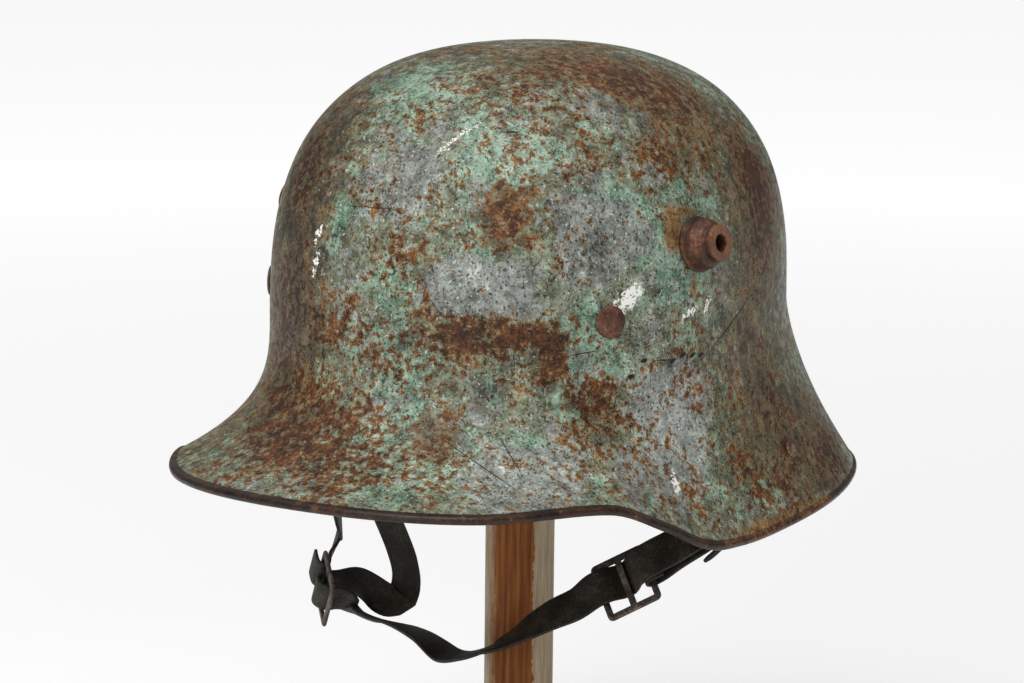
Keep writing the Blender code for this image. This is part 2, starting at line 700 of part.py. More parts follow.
def add_chin_strap(leather):
    route = smooth_route(strap_stations())
    return add_object("chin_strap", swept(ribbon_sections(route, STRAP_WIDTH, STRAP_THICKNESS)), leather)


# Thong end, from beside the left loop to its tip below the rim, as shares like the strap's
ThongPoint = namedtuple("ThongPoint", "across forward drop thick")
THONG_RUN = (
    ThongPoint(across=0.985, forward=0.250, drop=-0.110, thick=0.9),
    ThongPoint(across=0.968, forward=0.285, drop=0.030, thick=1.0),
    ThongPoint(across=0.915, forward=0.315, drop=0.185, thick=1.0),
    ThongPoint(across=0.838, forward=0.322, drop=0.284, thick=1.0),
    ThongPoint(across=0.812, forward=0.349, drop=0.323, thick=1.2),
    ThongPoint(across=0.785, forward=0.375, drop=0.356, thick=0.8),
)


def add_thong(leather):
    sides = 6
    points = [strap_place(point.across, point.forward, point.drop) for point in THONG_RUN]
    sections = []
    for index, point in enumerate(points):
        along = (points[min(len(points) - 1, index + 1)] - points[max(0, index - 1)]).normalized()
        across = along.cross(UP).normalized()
        out = across.cross(along)
        radius = THONG_RUN[index].thick * THONG_DIAMETER / 2
        ring = []
        for step in range(sides):
            turn = 2 * math.pi * step / sides
            ring.append(point + (across * math.cos(turn) + out * math.sin(turn)) * radius)
        sections.append(ring)
    return add_object("thong_end", swept(sections), leather)


def crown_underside(radius):
    """Height of the shell's inner face over the post, at a distance from the helmet's axis, on the steepest side."""
    across = min(1, radius / CROWN_HALF_WIDTH)
    up = (1 - across**DOME_RADIAL_POWER) ** (1 / DOME_HEIGHT_POWER)
    return WAIST_HEIGHT_SIDE + (CROWN_HEIGHT - WAIST_HEIGHT_SIDE) * up - WALL


def add_stand(pine):
    """Post between a round foot and a domed block that follows the inside of the crown."""
    post, socket = POST_DIAMETER / 2, POST_DIAMETER / 2 + SEAT_GAP
    base, edge = BASE_DIAMETER / 2, BASE_EDGE_ROUND
    socket_floor = BASE_THICKNESS - POST_SOCKET_DEPTH
    foot = [(0, 0), (base, 0), (base, BASE_THICKNESS - edge)]
    for step in range(1, 4):
        turn = math.radians(30 * step)
        foot.append((base - edge + edge * math.cos(turn), BASE_THICKNESS - edge + edge * math.sin(turn)))
    foot += [(socket, BASE_THICKNESS), (socket, socket_floor), (0, socket_floor)]
    add_object("base", turned(foot, Matrix.Identity(4), sides=40), pine)

    block, steps = HEAD_BLOCK_DIAMETER / 2, 6
    dome = []
    for step in range(steps + 1):
        radius = block * step / steps
        dome.append((radius, RIM_ABOVE_FLOOR + crown_underside(radius + HELMET_SET_BACK) - SEAT_GAP))
    top = dome[0][1]
    under, socket_top = top - HEAD_BLOCK_DEPTH, top - HEAD_BLOCK_DEPTH + HEAD_SOCKET_DEPTH
    head = dome + [(block, under + edge), (block - edge, under), (socket, under), (socket, socket_top), (0, socket_top)]
    add_object("head_block", turned(head, Matrix.Identity(4), sides=24), pine)

    foot_of_post, top_of_post = socket_floor + SEAT_GAP, socket_top - SEAT_GAP
    stick = [(0, foot_of_post), (post, foot_of_post), (post, top_of_post), (0, top_of_post)]
    add_object("post", turned(stick, Matrix.Identity(4), sides=24), pine)


def main():
    for obj in list(bpy.data.objects):
        bpy.data.objects.remove(obj)
    painted = material("painted_steel", (0.25, 0.29, 0.25), 0.6, 0.1)
    rusty = material("rusty_steel", (0.16, 0.06, 0.03), 0.8, 0.2)
    leather = material("strap_leather", (0.03, 0.026, 0.02), 0.6, 0.0)
    pine = material("pine", (0.62, 0.42, 0.24), 0.55, 0.0)
    shell = add_shell(painted)
    add_vent_lug("vent_lug_left", shell, rusty, VENT_LUG_LEFT_ANGLE)
    add_vent_lug("vent_lug_right", shell, rusty, -VENT_LUG_RIGHT_ANGLE)
    add_liner_rivet("liner_rivet_left", shell, rusty, LINER_RIVET_LEFT_ANGLE, LINER_RIVET_HEIGHT)
    add_liner_rivet("liner_rivet_right", shell, rusty, -LINER_RIVET_RIGHT_ANGLE, LINER_RIVET_HEIGHT)
    add_strap_lug("strap_lug_left", shell, rusty, LEFT)
    add_strap_lug("strap_lug_right", shell, rusty, RIGHT)
    add_liner_rivet("liner_rivet_rear", shell, rusty, 180, LINER_RIVET_REAR_HEIGHT)
    add_chin_strap(leather)
    add_buckle("strap_buckle_left", rusty, BUCKLE_LEFT_PLACE)
    add_buckle("strap_buckle_right", rusty, BUCKLE_RIGHT_PLACE)
    add_thong(leather)
    add_stand(pine)


main()
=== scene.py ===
"""Military helmet on a wooden post: the looks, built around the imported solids.

Metres, +Z up. The helmet's front faces -Y and the wearer's left is +X. The origin is the centre of the base's
underside. Angles around the helmet run from the front towards +X, and heights are above the lowest rim.
"""

import math
from collections import namedtuple

import bmesh
import bpy
from mathutils import Matrix, Vector, noise


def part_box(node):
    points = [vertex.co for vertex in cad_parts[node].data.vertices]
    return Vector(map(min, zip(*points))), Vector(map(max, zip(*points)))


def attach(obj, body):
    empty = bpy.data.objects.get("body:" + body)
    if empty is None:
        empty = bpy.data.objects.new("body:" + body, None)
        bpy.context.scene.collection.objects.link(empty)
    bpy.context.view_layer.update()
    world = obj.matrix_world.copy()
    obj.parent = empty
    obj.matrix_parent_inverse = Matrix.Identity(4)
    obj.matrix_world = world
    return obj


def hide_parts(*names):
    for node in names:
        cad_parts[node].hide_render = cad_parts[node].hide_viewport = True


bl_info = {
    "name": "Military helmet on a post",
    "version": (1, 0, 0),
    "blender": (4, 5, 0),
    "location": "3D View > Sidebar > Helmet",
    "description": "Adds the finished pieces of a worn steel helmet, its strap and its stand",
    "category": "Add Mesh",
}

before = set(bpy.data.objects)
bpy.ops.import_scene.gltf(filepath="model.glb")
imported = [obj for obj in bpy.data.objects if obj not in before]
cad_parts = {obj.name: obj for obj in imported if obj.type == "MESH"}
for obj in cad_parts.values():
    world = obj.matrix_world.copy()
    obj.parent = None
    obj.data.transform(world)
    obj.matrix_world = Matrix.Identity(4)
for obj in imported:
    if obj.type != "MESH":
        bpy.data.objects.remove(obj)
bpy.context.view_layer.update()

MM = 0.001
BODY = "root"
LEFT = 1
RIGHT = -1

# The stand and the helmet's seat on it. The boxes are read from the solids, and the rest is as they have it.
POST_LOW, POST_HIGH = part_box("post")
BASE_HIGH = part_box("base")[1]
SHELL_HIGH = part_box("shell")[1]
RIM_ABOVE_FLOOR = 160 * MM
HELMET_SET_BACK = 2 * MM
SEAT_GAP = 0.3 * MM

# Shell, as the solid's source gives it
WALL = 1.2 * MM
CROWN_HALF_WIDTH = 96 * MM
CROWN_FRONT_REACH = 108.3 * MM
CROWN_REAR_REACH = 124.4 * MM
CROWN_HEIGHT = SHELL_HIGH[2] - RIM_ABOVE_FLOOR
WAIST_HEIGHT_FRONT = 70.8 * MM
WAIST_HEIGHT_SIDE = 78.4 * MM
WAIST_HEIGHT_REAR = 80.8 * MM
PEAK_REACH = 52.2 * MM
PEAK_LIFT = 22.8 * MM
BEAD_DIAMETER = 3.4 * MM
BEAD_PROUD = 0.45 * MM
PLAN_POWER = 2.13
DOME_RADIAL_POWER = 2.54
DOME_HEIGHT_POWER = 2.73

Rim = namedtuple("Rim", "angle reach lift curl")
RIM_ROWS = (
    Rim(angle=0, reach=1.00, lift=1.00, curl=2.42),
    Rim(angle=25, reach=0.97, lift=0.99, curl=2.75),
    Rim(angle=45, reach=0.71, lift=0.98, curl=2.95),
    Rim(angle=55, reach=0.645, lift=0.58, curl=2.93),
    Rim(angle=65, reach=0.57, lift=0.12, curl=2.60),
    Rim(angle=75, reach=0.50, lift=0.00, curl=2.10),
    Rim(angle=90, reach=0.48, lift=0.03, curl=1.61),
    Rim(angle=110, reach=0.56, lift=0.20, curl=1.52),
    Rim(angle=135, reach=0.62, lift=0.38, curl=1.57),
    Rim(angle=160, reach=0.52, lift=0.40, curl=1.50),
    Rim(angle=180, reach=0.46, lift=0.34, curl=1.42),
)

# How fine the shell's surface is. The evening spreads the crown's steps more evenly over its dome.
AROUND = 260
CROWN_STEPS = 58
CROWN_EVENING = 0.06
FLARE_STEPS = 40
BEAD_STEPS = 14

# The hammered unevenness from bump to bump, and the width that the shell's top counts as for its patches
WAVE_LENGTH = 26 * MM
LEAST_REACH = 30 * MM

# Fittings: where they are on the shell, and their sizes. The inner ends of lugs and rivets are peened over.
LINER_RIVET_LEFT_ANGLE = 49.5
LINER_RIVET_RIGHT_ANGLE = 55
LINER_RIVET_HEIGHT = 87.1 * MM
LINER_RIVET_REAR_HEIGHT = 96 * MM
LINER_RIVET_HEAD = 12.4 * MM
LINER_RIVET_RISE = 1.5 * MM
LINER_RIVET_SHANK = 5 * MM
VENT_LUG_LEFT_ANGLE = 74.6
VENT_LUG_RIGHT_ANGLE = 80.5
VENT_LUG_HEIGHT = 112.7 * MM
VENT_LUG_LENGTH = 12.3 * MM
VENT_LUG_BASE = 21.5 * MM
VENT_LUG_TUBE = 12 * MM
VENT_LUG_PEEN = 15 * MM
VENT_LUG_BORE = 6.6 * MM
VENT_LUG_LIP = 0.35 * MM
STRAP_LUG_ANGLE = 101.7
STRAP_LUG_HEIGHT = 27.3 * MM
INNER_GAP = 0.6 * MM
PEEN_THICKNESS = 1 * MM
FITTING_ROUND = 0.5 * MM

# Outside of a vent lug: radius as a share of its base's, and height as a share of its length
VENT_LUG_OUTSIDE = (
    (1.00, 0.10),
    (0.93, 0.13),
    (0.92, 0.36),
    (0.85, 0.54),
    (0.72, 0.67),
    (0.64, 0.73),
    (0.635, 0.82),
    (0.665, 0.86),
    (0.655, 0.96),
    (0.60, 1.00),
)

# Low dome of paint and rust over a strap lug's outer head: radius and height in millimetres
STRAP_LUG_CAP = ((0, 1.48), (1.4, 1.42), (2.9, 1.1), (3.58, 0.5), (3.6, 0.05), (3.0, 0.05))

# Rounding of the strap's and buckles' edges, and of the stand's
STRAP_ROUND = 0.45 * MM
BUCKLE_ROUND = 0.25 * MM
POST_ROUND = 0.8 * MM
BASE_ROUND = 4 * MM

# Studio. The floor's glow grows with distance in metres and the world's with height, each from one strength
# to another, so that the background is an even near-white.
FLOOR_GLOW = (0.5, 2.2, 0.20, 0.50)
SKY_GLOW = (0.0, 0.9, 0.12, 0.60)
TARGET_ASIDE = -5.14 * MM
TARGET_HEIGHT = 222.32 * MM
LENS = 124.2
ROLL = math.radians(0.62)
SOFTBOX_TARGET = Vector((0.0, 0.0, 0.22))
WHITE = (1.0, 1.0, 1.0, 1.0)
Softbox = namedtuple("Softbox", "name place size power")
SOFTBOXES = (
    Softbox(name="overhead_softbox", place=Vector((0.0, -0.9, 1.9)), size=1.3, power=23),
    Softbox(name="front_softbox", place=Vector((0.2, -2.2, 0.8)), size=1.0, power=8),
)


def linear(code):
    """An sRGB hex colour as the linear values that shaders take."""
    channels = [int(code[at : at + 2], 16) / 255 for at in (1, 3, 5)]
    return tuple(c / 12.92 if c <= 0.04045 else ((c + 0.055) / 1.055) ** 2.4 for c in channels)


def shade(code):
    """An sRGB hex colour as a shader's colour value."""
    return (*linear(code), 1.0)


# Kinds of node. A range's inputs are its field, two limits and what they become. A mix's 0, 6 and 7 are its
# mask and two colours, and its output for colours is 2.
ATTRIBUTE = "ShaderNodeAttribute"
BUMP = "ShaderNodeBump"
MAPPING = "ShaderNodeMapping"
MATHS = "ShaderNodeMath"
MIX = "ShaderNodeMix"
NOISE = "ShaderNodeTexNoise"
RAMP = "ShaderNodeValToRGB"
RANGE = "ShaderNodeMapRange"
VECTOR_MATHS = "ShaderNodeVectorMath"


def set_inputs(tree, node, inputs):
    """Gives a node's inputs, in order or by key, their values, or another node's output as a link."""
    keyed = dict(enumerate(inputs)) if isinstance(inputs, tuple) else inputs
    for key, value in keyed.items():
        if isinstance(value, bpy.types.NodeSocket):
            tree.links.new(value, node.inputs[key])
        else:
            node.inputs[key].default_value = value


def set_stops(elements, stops):
    """Gives a ramp its stops of (place, hex colour)."""
    while len(elements) < len(stops):
        elements.new(0.5)
    for element, (place, code) in zip(elements, stops):
        element.position = place
        element.color = shade(code)


def add_node(tree, kind, inputs=(), output=0, stops=None, **settings):
    """Adds a node with its settings, inputs and colour stops, and returns one of its outputs."""
    made = tree.nodes.new(kind)
    for name, value in settings.items():
        setattr(made, name, value)
    set_inputs(tree, made, inputs)
    if stops:
        set_stops(made.color_ramp.elements, stops)
    return made.outputs[output]


def noise_of(coords, size, detail, rough):
    """Inputs of noise whose largest grain is so many millimetres."""
    return {"Vector": coords, "Scale": 1 / (size * MM), "Detail": detail, "Roughness": rough}


def new_material(name):
    """A material with its tree, shader and Object coordinates."""
    made = bpy.data.materials.new(name)
    made.use_nodes = True
    tree = made.node_tree
    shader = tree.nodes["Principled BSDF"]
    coords = add_node(tree, "ShaderNodeTexCoord", output="Object")
    return made, tree, shader, coords


def finish_mesh(name, bm, made_of, sharp_above=None, replaces=None):
    """Makes the bmesh an object that rides on the helmet's body and stands for its CAD node."""
    mesh = bpy.data.meshes.new(name)
    bm.to_mesh(mesh)
    bm.free()
    mesh.materials.append(made_of)
    mesh.shade_smooth()
    if sharp_above:
        mesh.set_sharp_from_angle(angle=math.radians(sharp_above))
    obj = bpy.data.objects.new(name, mesh)
    bpy.context.scene.collection.objects.link(obj)
    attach(obj, BODY)
    if replaces:
        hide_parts(replaces)
    return obj


# Surface of the shell


def smooth_between(values, places, at):
    """The value at a place, on a smooth curve through the given ones and mirrored at both its ends."""
    last = len(places) - 1
    mirrored = [2 * places[0] - places[1], *places, 2 * places[last] - places[last - 1]]
    padded = [values[1], *values, values[last - 1]]
    step = 1
    while step < last and mirrored[step + 1] < at:
        step += 1
    left, right = mirrored[step], mirrored[step + 1]
    span = right - left
    share = (at - left) / span
    slope_left = (padded[step + 1] - padded[step - 1]) / (right - mirrored[step - 1]) * span
    slope_right = (padded[step + 2] - padded[step]) / (mirrored[step + 2] - left) * span
    rise = padded[step + 1] - padded[step]
    bend = slope_left + slope_right - 2 * rise
    return padded[step] + share * (slope_left + share * ((rise - slope_left - bend) + share * bend))


def rim_value(column, angle):
    """A column of RIM_ROWS at an angle in degrees, the same on both sides."""
    off_front = abs((angle + 180) % 360 - 180)
    values = [getattr(row, column) for row in RIM_ROWS]
    return smooth_between(values, [row.angle for row in RIM_ROWS], off_front)


def crown_reach(angle):
    """How far the crown's wall stands from the helmet's axis at its waist."""
    side, ahead = abs(math.sin(math.radians(angle))), math.cos(math.radians(angle))
    reach = CROWN_FRONT_REACH if ahead > 0 else CROWN_REAR_REACH
    total = (side / CROWN_HALF_WIDTH) ** PLAN_POWER + (abs(ahead) / reach) ** PLAN_POWER
    return total ** (-1 / PLAN_POWER)


def waist_height(angle):
    """Height at which the crown's dome turns into the flare."""
    ahead = math.cos(math.radians(angle))
    end = WAIST_HEIGHT_FRONT if ahead > 0 else WAIST_HEIGHT_REAR
    return WAIST_HEIGHT_SIDE + (end - WAIST_HEIGHT_SIDE) * ahead**2


def flare_end(angle):
    """Reach and height of the bead's centre."""
    bead = BEAD_DIAMETER / 2
    reach = crown_reach(angle) + rim_value("reach", angle) * PEAK_REACH - bead
    return reach, rim_value("lift", angle) * PEAK_LIFT + bead


def outer_radius(angle, height):
    """Distance of the shell's outer face from the helmet's axis."""
    reach, waist = crown_reach(angle), waist_height(angle)
    if height >= waist:
        up = min(1, (height - waist) / (CROWN_HEIGHT - waist))
        return reach * (1 - up**DOME_HEIGHT_POWER) ** (1 / DOME_RADIAL_POWER)
    rim_reach, rim_height = flare_end(angle)
    down = (waist - height) / (waist - rim_height)
    return reach + (rim_reach - reach) * down ** rim_value("curl", angle)


def outward(angle, radius, height):
    """A point from its angle, distance from the helmet's axis and height above the lowest rim."""
    turn = math.radians(angle)
    return Vector(
        (radius * math.sin(turn), HELMET_SET_BACK - radius * math.cos(turn), RIM_ABOVE_FLOOR + height)
    )


def on_face(angle, height):
    """Point on the shell's outer face."""
    return outward(angle, outer_radius(angle, height), height)


def on_shell(angle, height):
    """Frame on the shell's outer face, with Z straight out, X around the helmet and Y up the wall."""
    turn, rise = 0.05, 0.05 * MM
    around = (on_face(angle + turn, height) - on_face(angle - turn, height)).normalized()
    above = (on_face(angle, height + rise) - on_face(angle, height - rise)).normalized()
    out = around.cross(above).normalized()
    axes = Matrix((around, out.cross(around), out)).transposed().to_4x4()
    return Matrix.Translation(on_face(angle, height)) @ axes


SectionPoint = namedtuple("SectionPoint", "radius height inside bead")


def shell_section(angle):
    """The wall's section at an angle, from the crown down the outside, round the bead and up the inside."""
    reach, waist = crown_reach(angle), waist_height(angle)
    rim_reach, rim_height = flare_end(angle)
    curl = rim_value("curl", angle)
    outside = []
    for step in range(CROWN_STEPS + 1):
        share = step / CROWN_STEPS
        turn = math.pi / 2 * (share - CROWN_EVENING * math.sin(2 * math.pi * share))
        across = math.sin(turn) ** (2 / DOME_RADIAL_POWER)
        up = max(0.0, math.cos(turn)) ** (2 / DOME_HEIGHT_POWER)
        outside.append(Vector((reach * across, waist + (CROWN_HEIGHT - waist) * up)))
    for step in range(1, FLARE_STEPS + 1):
        down = step / FLARE_STEPS
        across = reach + (rim_reach - reach) * down**curl
        outside.append(Vector((across, waist + (rim_height - waist) * down)))
    normals = []
    for index, point in enumerate(outside):
        before = outside[max(0, index - 1)]
        after = outside[min(len(outside) - 1, index + 1)]
        along = (after - before).normalized()
        normals.append(Vector((-along.y, along.x)))
    normals[0] = Vector((0, 1))
    inside = [point - normal * WALL for point, normal in zip(outside, normals)]
    inside[0] = Vector((0, CROWN_HEIGHT - WALL))
    out, bead = normals[-1], BEAD_DIAMETER / 2
    tip = Vector((out.y, -out.x))
    centre = outside[-1] - out * (bead - BEAD_PROUD)
    first = -math.acos((bead - BEAD_PROUD) / bead)
    last = math.pi + math.acos((WALL - bead + BEAD_PROUD) / bead)
    section = [SectionPoint(point.x, point.y, 0.0, 0.0) for point in outside[:-1]]
    for step in range(BEAD_STEPS + 1):
        turn = first + (last - first) * step / BEAD_STEPS
        point = centre + (out * math.cos(turn) + tip * math.sin(turn)) * bead
        section.append(SectionPoint(point.x, point.y, 0.0, 1.0))
    section += [SectionPoint(point.x, point.y, 1.0, 0.0) for point in inside[-2::-1]]
    return section


# Colour patches on the shell, charted one by one: centre, half-sizes around and up the wall in millimetres,
# and strength. A negative strength keeps the finish away.
Patch = namedtuple("Patch", "angle height wide tall strength")
RUST_PATCHES = (
    Patch(angle=25, height=83, wide=27, tall=8, strength=1.0),
    Patch(angle=37, height=73, wide=7, tall=11, strength=0.9),
    Patch(angle=28, height=126, wide=12, tall=13, strength=0.6),
    Patch(angle=47, height=58, wide=15, tall=11, strength=0.6),
    Patch(angle=-24, height=78, wide=18, tall=30, strength=0.6),
    Patch(angle=-12, height=44, wide=30, tall=15, strength=0.7),
    Patch(angle=3, height=33, wide=20, tall=7, strength=0.7),
    Patch(angle=80, height=168, wide=26, tall=10, strength=0.7),
    Patch(angle=76, height=148, wide=24, tall=13, strength=0.5),
    Patch(angle=107, height=125, wide=13, tall=32, strength=0.8),
    Patch(angle=101, height=46, wide=15, tall=20, strength=0.5),
    Patch(angle=87, height=22, wide=22, tall=10, strength=0.4),
    Patch(angle=115, height=22, wide=24, tall=14, strength=0.7),
    Patch(angle=16, height=45, wide=8, tall=6, strength=0.5),
    Patch(angle=3, height=162, wide=10, tall=7, strength=0.5),
    Patch(angle=-32, height=140, wide=12, tall=22, strength=0.5),
    Patch(angle=40, height=178, wide=30, tall=6, strength=0.5),
    Patch(angle=150, height=60, wide=30, tall=26, strength=0.5),
    Patch(angle=-150, height=110, wide=34, tall=24, strength=0.5),
    Patch(angle=-80, height=40, wide=30, tall=20, strength=0.6),
    Patch(angle=23, height=103, wide=22, tall=10, strength=-0.5),
    Patch(angle=48, height=118, wide=14, tall=20, strength=-0.5),
    Patch(angle=58, height=90, wide=16, tall=14, strength=-0.5),
)
TEAL_PATCHES = (
    Patch(angle=29, height=147, wide=19, tall=8, strength=1.3),
    Patch(angle=-6, height=168, wide=17, tall=7, strength=1.2),
    Patch(angle=6, height=56, wide=8, tall=22, strength=1.6),
    Patch(angle=13, height=37, wide=16, tall=8, strength=1.5),
    Patch(angle=68, height=165, wide=7, tall=4, strength=1.2),
    Patch(angle=4, height=100, wide=5, tall=11, strength=1.0),
    Patch(angle=45, height=78, wide=9, tall=11, strength=1.1),
    Patch(angle=106, height=75, wide=8, tall=24, strength=0.8),
    Patch(angle=67, height=98, wide=13, tall=9, strength=0.6),
    Patch(angle=-12, height=118, wide=6, tall=11, strength=0.6),
    Patch(angle=58, height=121, wide=11, tall=13, strength=0.6),
    Patch(angle=31, height=40, wide=20, tall=6, strength=0.6),
    Patch(angle=-5, height=158, wide=12, tall=6, strength=0.5),
    Patch(angle=-24, height=33, wide=18, tall=6, strength=0.5),
    Patch(angle=170, height=120, wide=26, tall=18, strength=0.7),
    Patch(angle=-110, height=80, wide=24, tall=20, strength=0.7),
    Patch(angle=135, height=150, wide=24, tall=14, strength=0.6),
)
GREY_PATCHES = (
    Patch(angle=22, height=101, wide=22, tall=11, strength=1.0),
    Patch(angle=47, height=119, wide=14, tall=20, strength=0.8),
    Patch(angle=2, height=134, wide=15, tall=15, strength=0.6),
    Patch(angle=68, height=50, wide=17, tall=17, strength=0.9),
    Patch(angle=31, height=34, wide=20, tall=8, strength=0.9),
    Patch(angle=-20, height=132, wide=10, tall=12, strength=0.6),
    Patch(angle=59, height=56, wide=6, tall=13, strength=0.9),
    Patch(angle=65, height=25, wide=16, tall=8, strength=0.7),
    Patch(angle=57, height=164, wide=12, tall=6, strength=0.5),
    Patch(angle=54, height=35, wide=14, tall=8, strength=0.7),
    Patch(angle=-170, height=70, wide=24, tall=20, strength=0.7),
    Patch(angle=-60, height=110, wide=24, tall=24, strength=0.7),
)
ORANGE_PATCHES = (
    Patch(angle=67, height=119, wide=5, tall=10, strength=1.0),
    Patch(angle=73, height=98, wide=3, tall=6, strength=0.8),
    Patch(angle=95, height=1, wide=48, tall=6, strength=1.4),
    Patch(angle=74, height=125, wide=8, tall=3, strength=0.8),
    Patch(angle=101, height=31, wide=3, tall=4, strength=0.8),
)
# Brown stain. The two large tall patches on the sides, at -30 and 105 degrees, are partly painted shade that
# darkens the sides turning away from the lights.
STAIN_AND_SIDE_SHADE_PATCHES = (
    Patch(angle=-30, height=112, wide=26, tall=66, strength=1.0),
    Patch(angle=-16, height=96, wide=8, tall=24, strength=0.5),
    Patch(angle=-28, height=45, wide=34, tall=20, strength=0.7),
    Patch(angle=105, height=100, wide=30, tall=72, strength=1.0),
    Patch(angle=92, height=78, wide=20, tall=26, strength=0.6),
    Patch(angle=110, height=25, wide=34, tall=20, strength=0.8),
    Patch(angle=88, height=38, wide=15, tall=13, strength=0.8),
    Patch(angle=82, height=160, wide=30, tall=16, strength=0.8),
    Patch(angle=16, height=46, wide=15, tall=8, strength=0.6),
    Patch(angle=28, height=124, wide=14, tall=14, strength=0.5),
    Patch(angle=45, height=178, wide=45, tall=6, strength=0.6),
    Patch(angle=62, height=52, wide=16, tall=18, strength=-0.5),
    Patch(angle=180, height=90, wide=60, tall=60, strength=0.4),
    Patch(angle=-110, height=110, wide=60, tall=60, strength=0.5),
)
# Pale layer: lifts or lowers the paint's tone. It is partly the paint's own lighter and darker areas and
# partly painted light: a painted sheen on parts facing the lamps, such as low on the left skirt, and painted
# shade darkening both sides, which turn away from the lights.
TONE_SHEEN_AND_SHADE_PATCHES = (
    Patch(angle=65, height=47, wide=20, tall=22, strength=1.0),
    Patch(angle=22, height=103, wide=22, tall=10, strength=0.7),
    Patch(angle=31, height=36, wide=24, tall=8, strength=0.9),
    Patch(angle=29, height=147, wide=19, tall=9, strength=0.5),
    Patch(angle=-6, height=166, wide=18, tall=8, strength=0.5),
    Patch(angle=13, height=37, wide=16, tall=8, strength=0.5),
    Patch(angle=48, height=118, wide=12, tall=13, strength=-0.7),
    Patch(angle=2, height=134, wide=14, tall=14, strength=-0.3),
    Patch(angle=-30, height=112, wide=26, tall=62, strength=-1.9),
    Patch(angle=105, height=100, wide=30, tall=64, strength=-0.7),
    Patch(angle=12, height=82, wide=14, tall=8, strength=-0.5),
    Patch(angle=-26, height=42, wide=30, tall=16, strength=-0.3),
    Patch(angle=110, height=25, wide=34, tall=20, strength=-0.5),
    Patch(angle=34, height=76, wide=18, tall=10, strength=-0.3),
)
# Shallow dents, in the same way, with the strength as a depth in millimetres. A negative one is a raised lip.
DENTS = (
    Patch(angle=27, height=159, wide=10, tall=5, strength=0.9),
    Patch(angle=27, height=153, wide=8, tall=2.6, strength=-0.4),
    Patch(angle=12, height=155, wide=12, tall=7, strength=0.6),
    Patch(angle=24, height=95, wide=18, tall=10, strength=0.5),
    Patch(angle=68, height=96, wide=12, tall=9, strength=0.5),
    Patch(angle=-14, height=62, wide=18, tall=12, strength=0.5),
    Patch(angle=82, height=48, wide=14, tall=16, strength=0.6),
    Patch(angle=35, height=52, wide=14, tall=10, strength=0.4),
)
PATCH_LAYERS = {
    "pale": TONE_SHEEN_AND_SHADE_PATCHES,
    "rust": RUST_PATCHES,
    "teal": TEAL_PATCHES,
    "grey": GREY_PATCHES,
    "orange": ORANGE_PATCHES,
    "stain": STAIN_AND_SIDE_SHADE_PATCHES,
}


def patch_sum(patches, angle, height, radius):
    """Strength of a layer's patches at a point of the shell."""
    total = 0.0
    for patch in patches:
        off = (angle - patch.angle + 180) % 360 - 180
        around = math.radians(off) * radius / (patch.wide * MM)
        above = (height / MM - patch.height) / patch.tall
        away = around**2 + above**2
        if away < 6:
            total += patch.strength * math.exp(-(away**1.5))
    return total


# Marks on the shell, each from one end to the other, as angles and heights in millimetres, and a half-width.
# They reach only so far into the shell that they don't show on its other side.
MARK_DEPTH = 12 * MM
Mark = namedtuple("Mark", "angle height to_angle to_height half_width")
CHIPS = (
    Mark(angle=50.8, height=90.2, to_angle=56.4, to_height=98.5, half_width=3.1),
    Mark(angle=53.0, height=91.5, to_angle=55.0, to_height=99.5, half_width=2.0),
    Mark(angle=76.4, height=86.0, to_angle=78.4, to_height=91.0, half_width=0.9),
    Mark(angle=69.0, height=84.6, to_angle=73.6, to_height=88.8, half_width=1.1),
    Mark(angle=-17.3, height=99.0, to_angle=-16.6, to_height=109.0, half_width=1.0),
    Mark(angle=-17.8, height=111.0, to_angle=-17.2, to_height=118.0, half_width=0.8),
    Mark(angle=9.5, height=149.0, to_angle=19.0, to_height=160.0, half_width=0.55),
    Mark(angle=62.0, height=22.0, to_angle=62.6, to_height=29.0, half_width=1.4),
)
SCRATCHES = (
    Mark(angle=15.0, height=47.5, to_angle=33.0, to_height=28.5, half_width=0.22),
    Mark(angle=27.0, height=46.5, to_angle=31.5, to_height=34.5, half_width=0.22),
    Mark(angle=98.0, height=89.5, to_angle=79.0, to_height=71.5, half_width=0.45),
    Mark(angle=-12.0, height=127.0, to_angle=5.5, to_height=127.5, half_width=0.16),
    Mark(angle=12.0, height=96.0, to_angle=15.0, to_height=89.0, half_width=0.16),
    Mark(angle=40.5, height=75.0, to_angle=47.5, to_height=76.5, half_width=0.25),
    Mark(angle=61.5, height=70.6, to_angle=65.5, to_height=70.2, half_width=0.35),
    # The last one is no scratch but a painted shadow: the dark crescent in the shallow dent at 27 degrees.
    Mark(angle=25.2, height=156.6, to_angle=29.6, to_height=156.6, half_width=0.5),
)
PITS = (
    Mark(angle=54.3, height=65.4, to_angle=55.3, to_height=65.6, half_width=0.9),
    Mark(angle=57.6, height=71.0, to_angle=58.6, to_height=71.2, half_width=0.9),
    Mark(angle=65.6, height=69.4, to_angle=66.7, to_height=70.0, half_width=0.9),
    Mark(angle=68.8, height=71.1, to_angle=69.8, to_height=71.6, half_width=0.9),
    Mark(angle=72.0, height=70.4, to_angle=73.0, to_height=71.0, half_width=0.9),
    Mark(angle=74.8, height=70.0, to_angle=75.7, to_height=70.4, half_width=0.9),
)


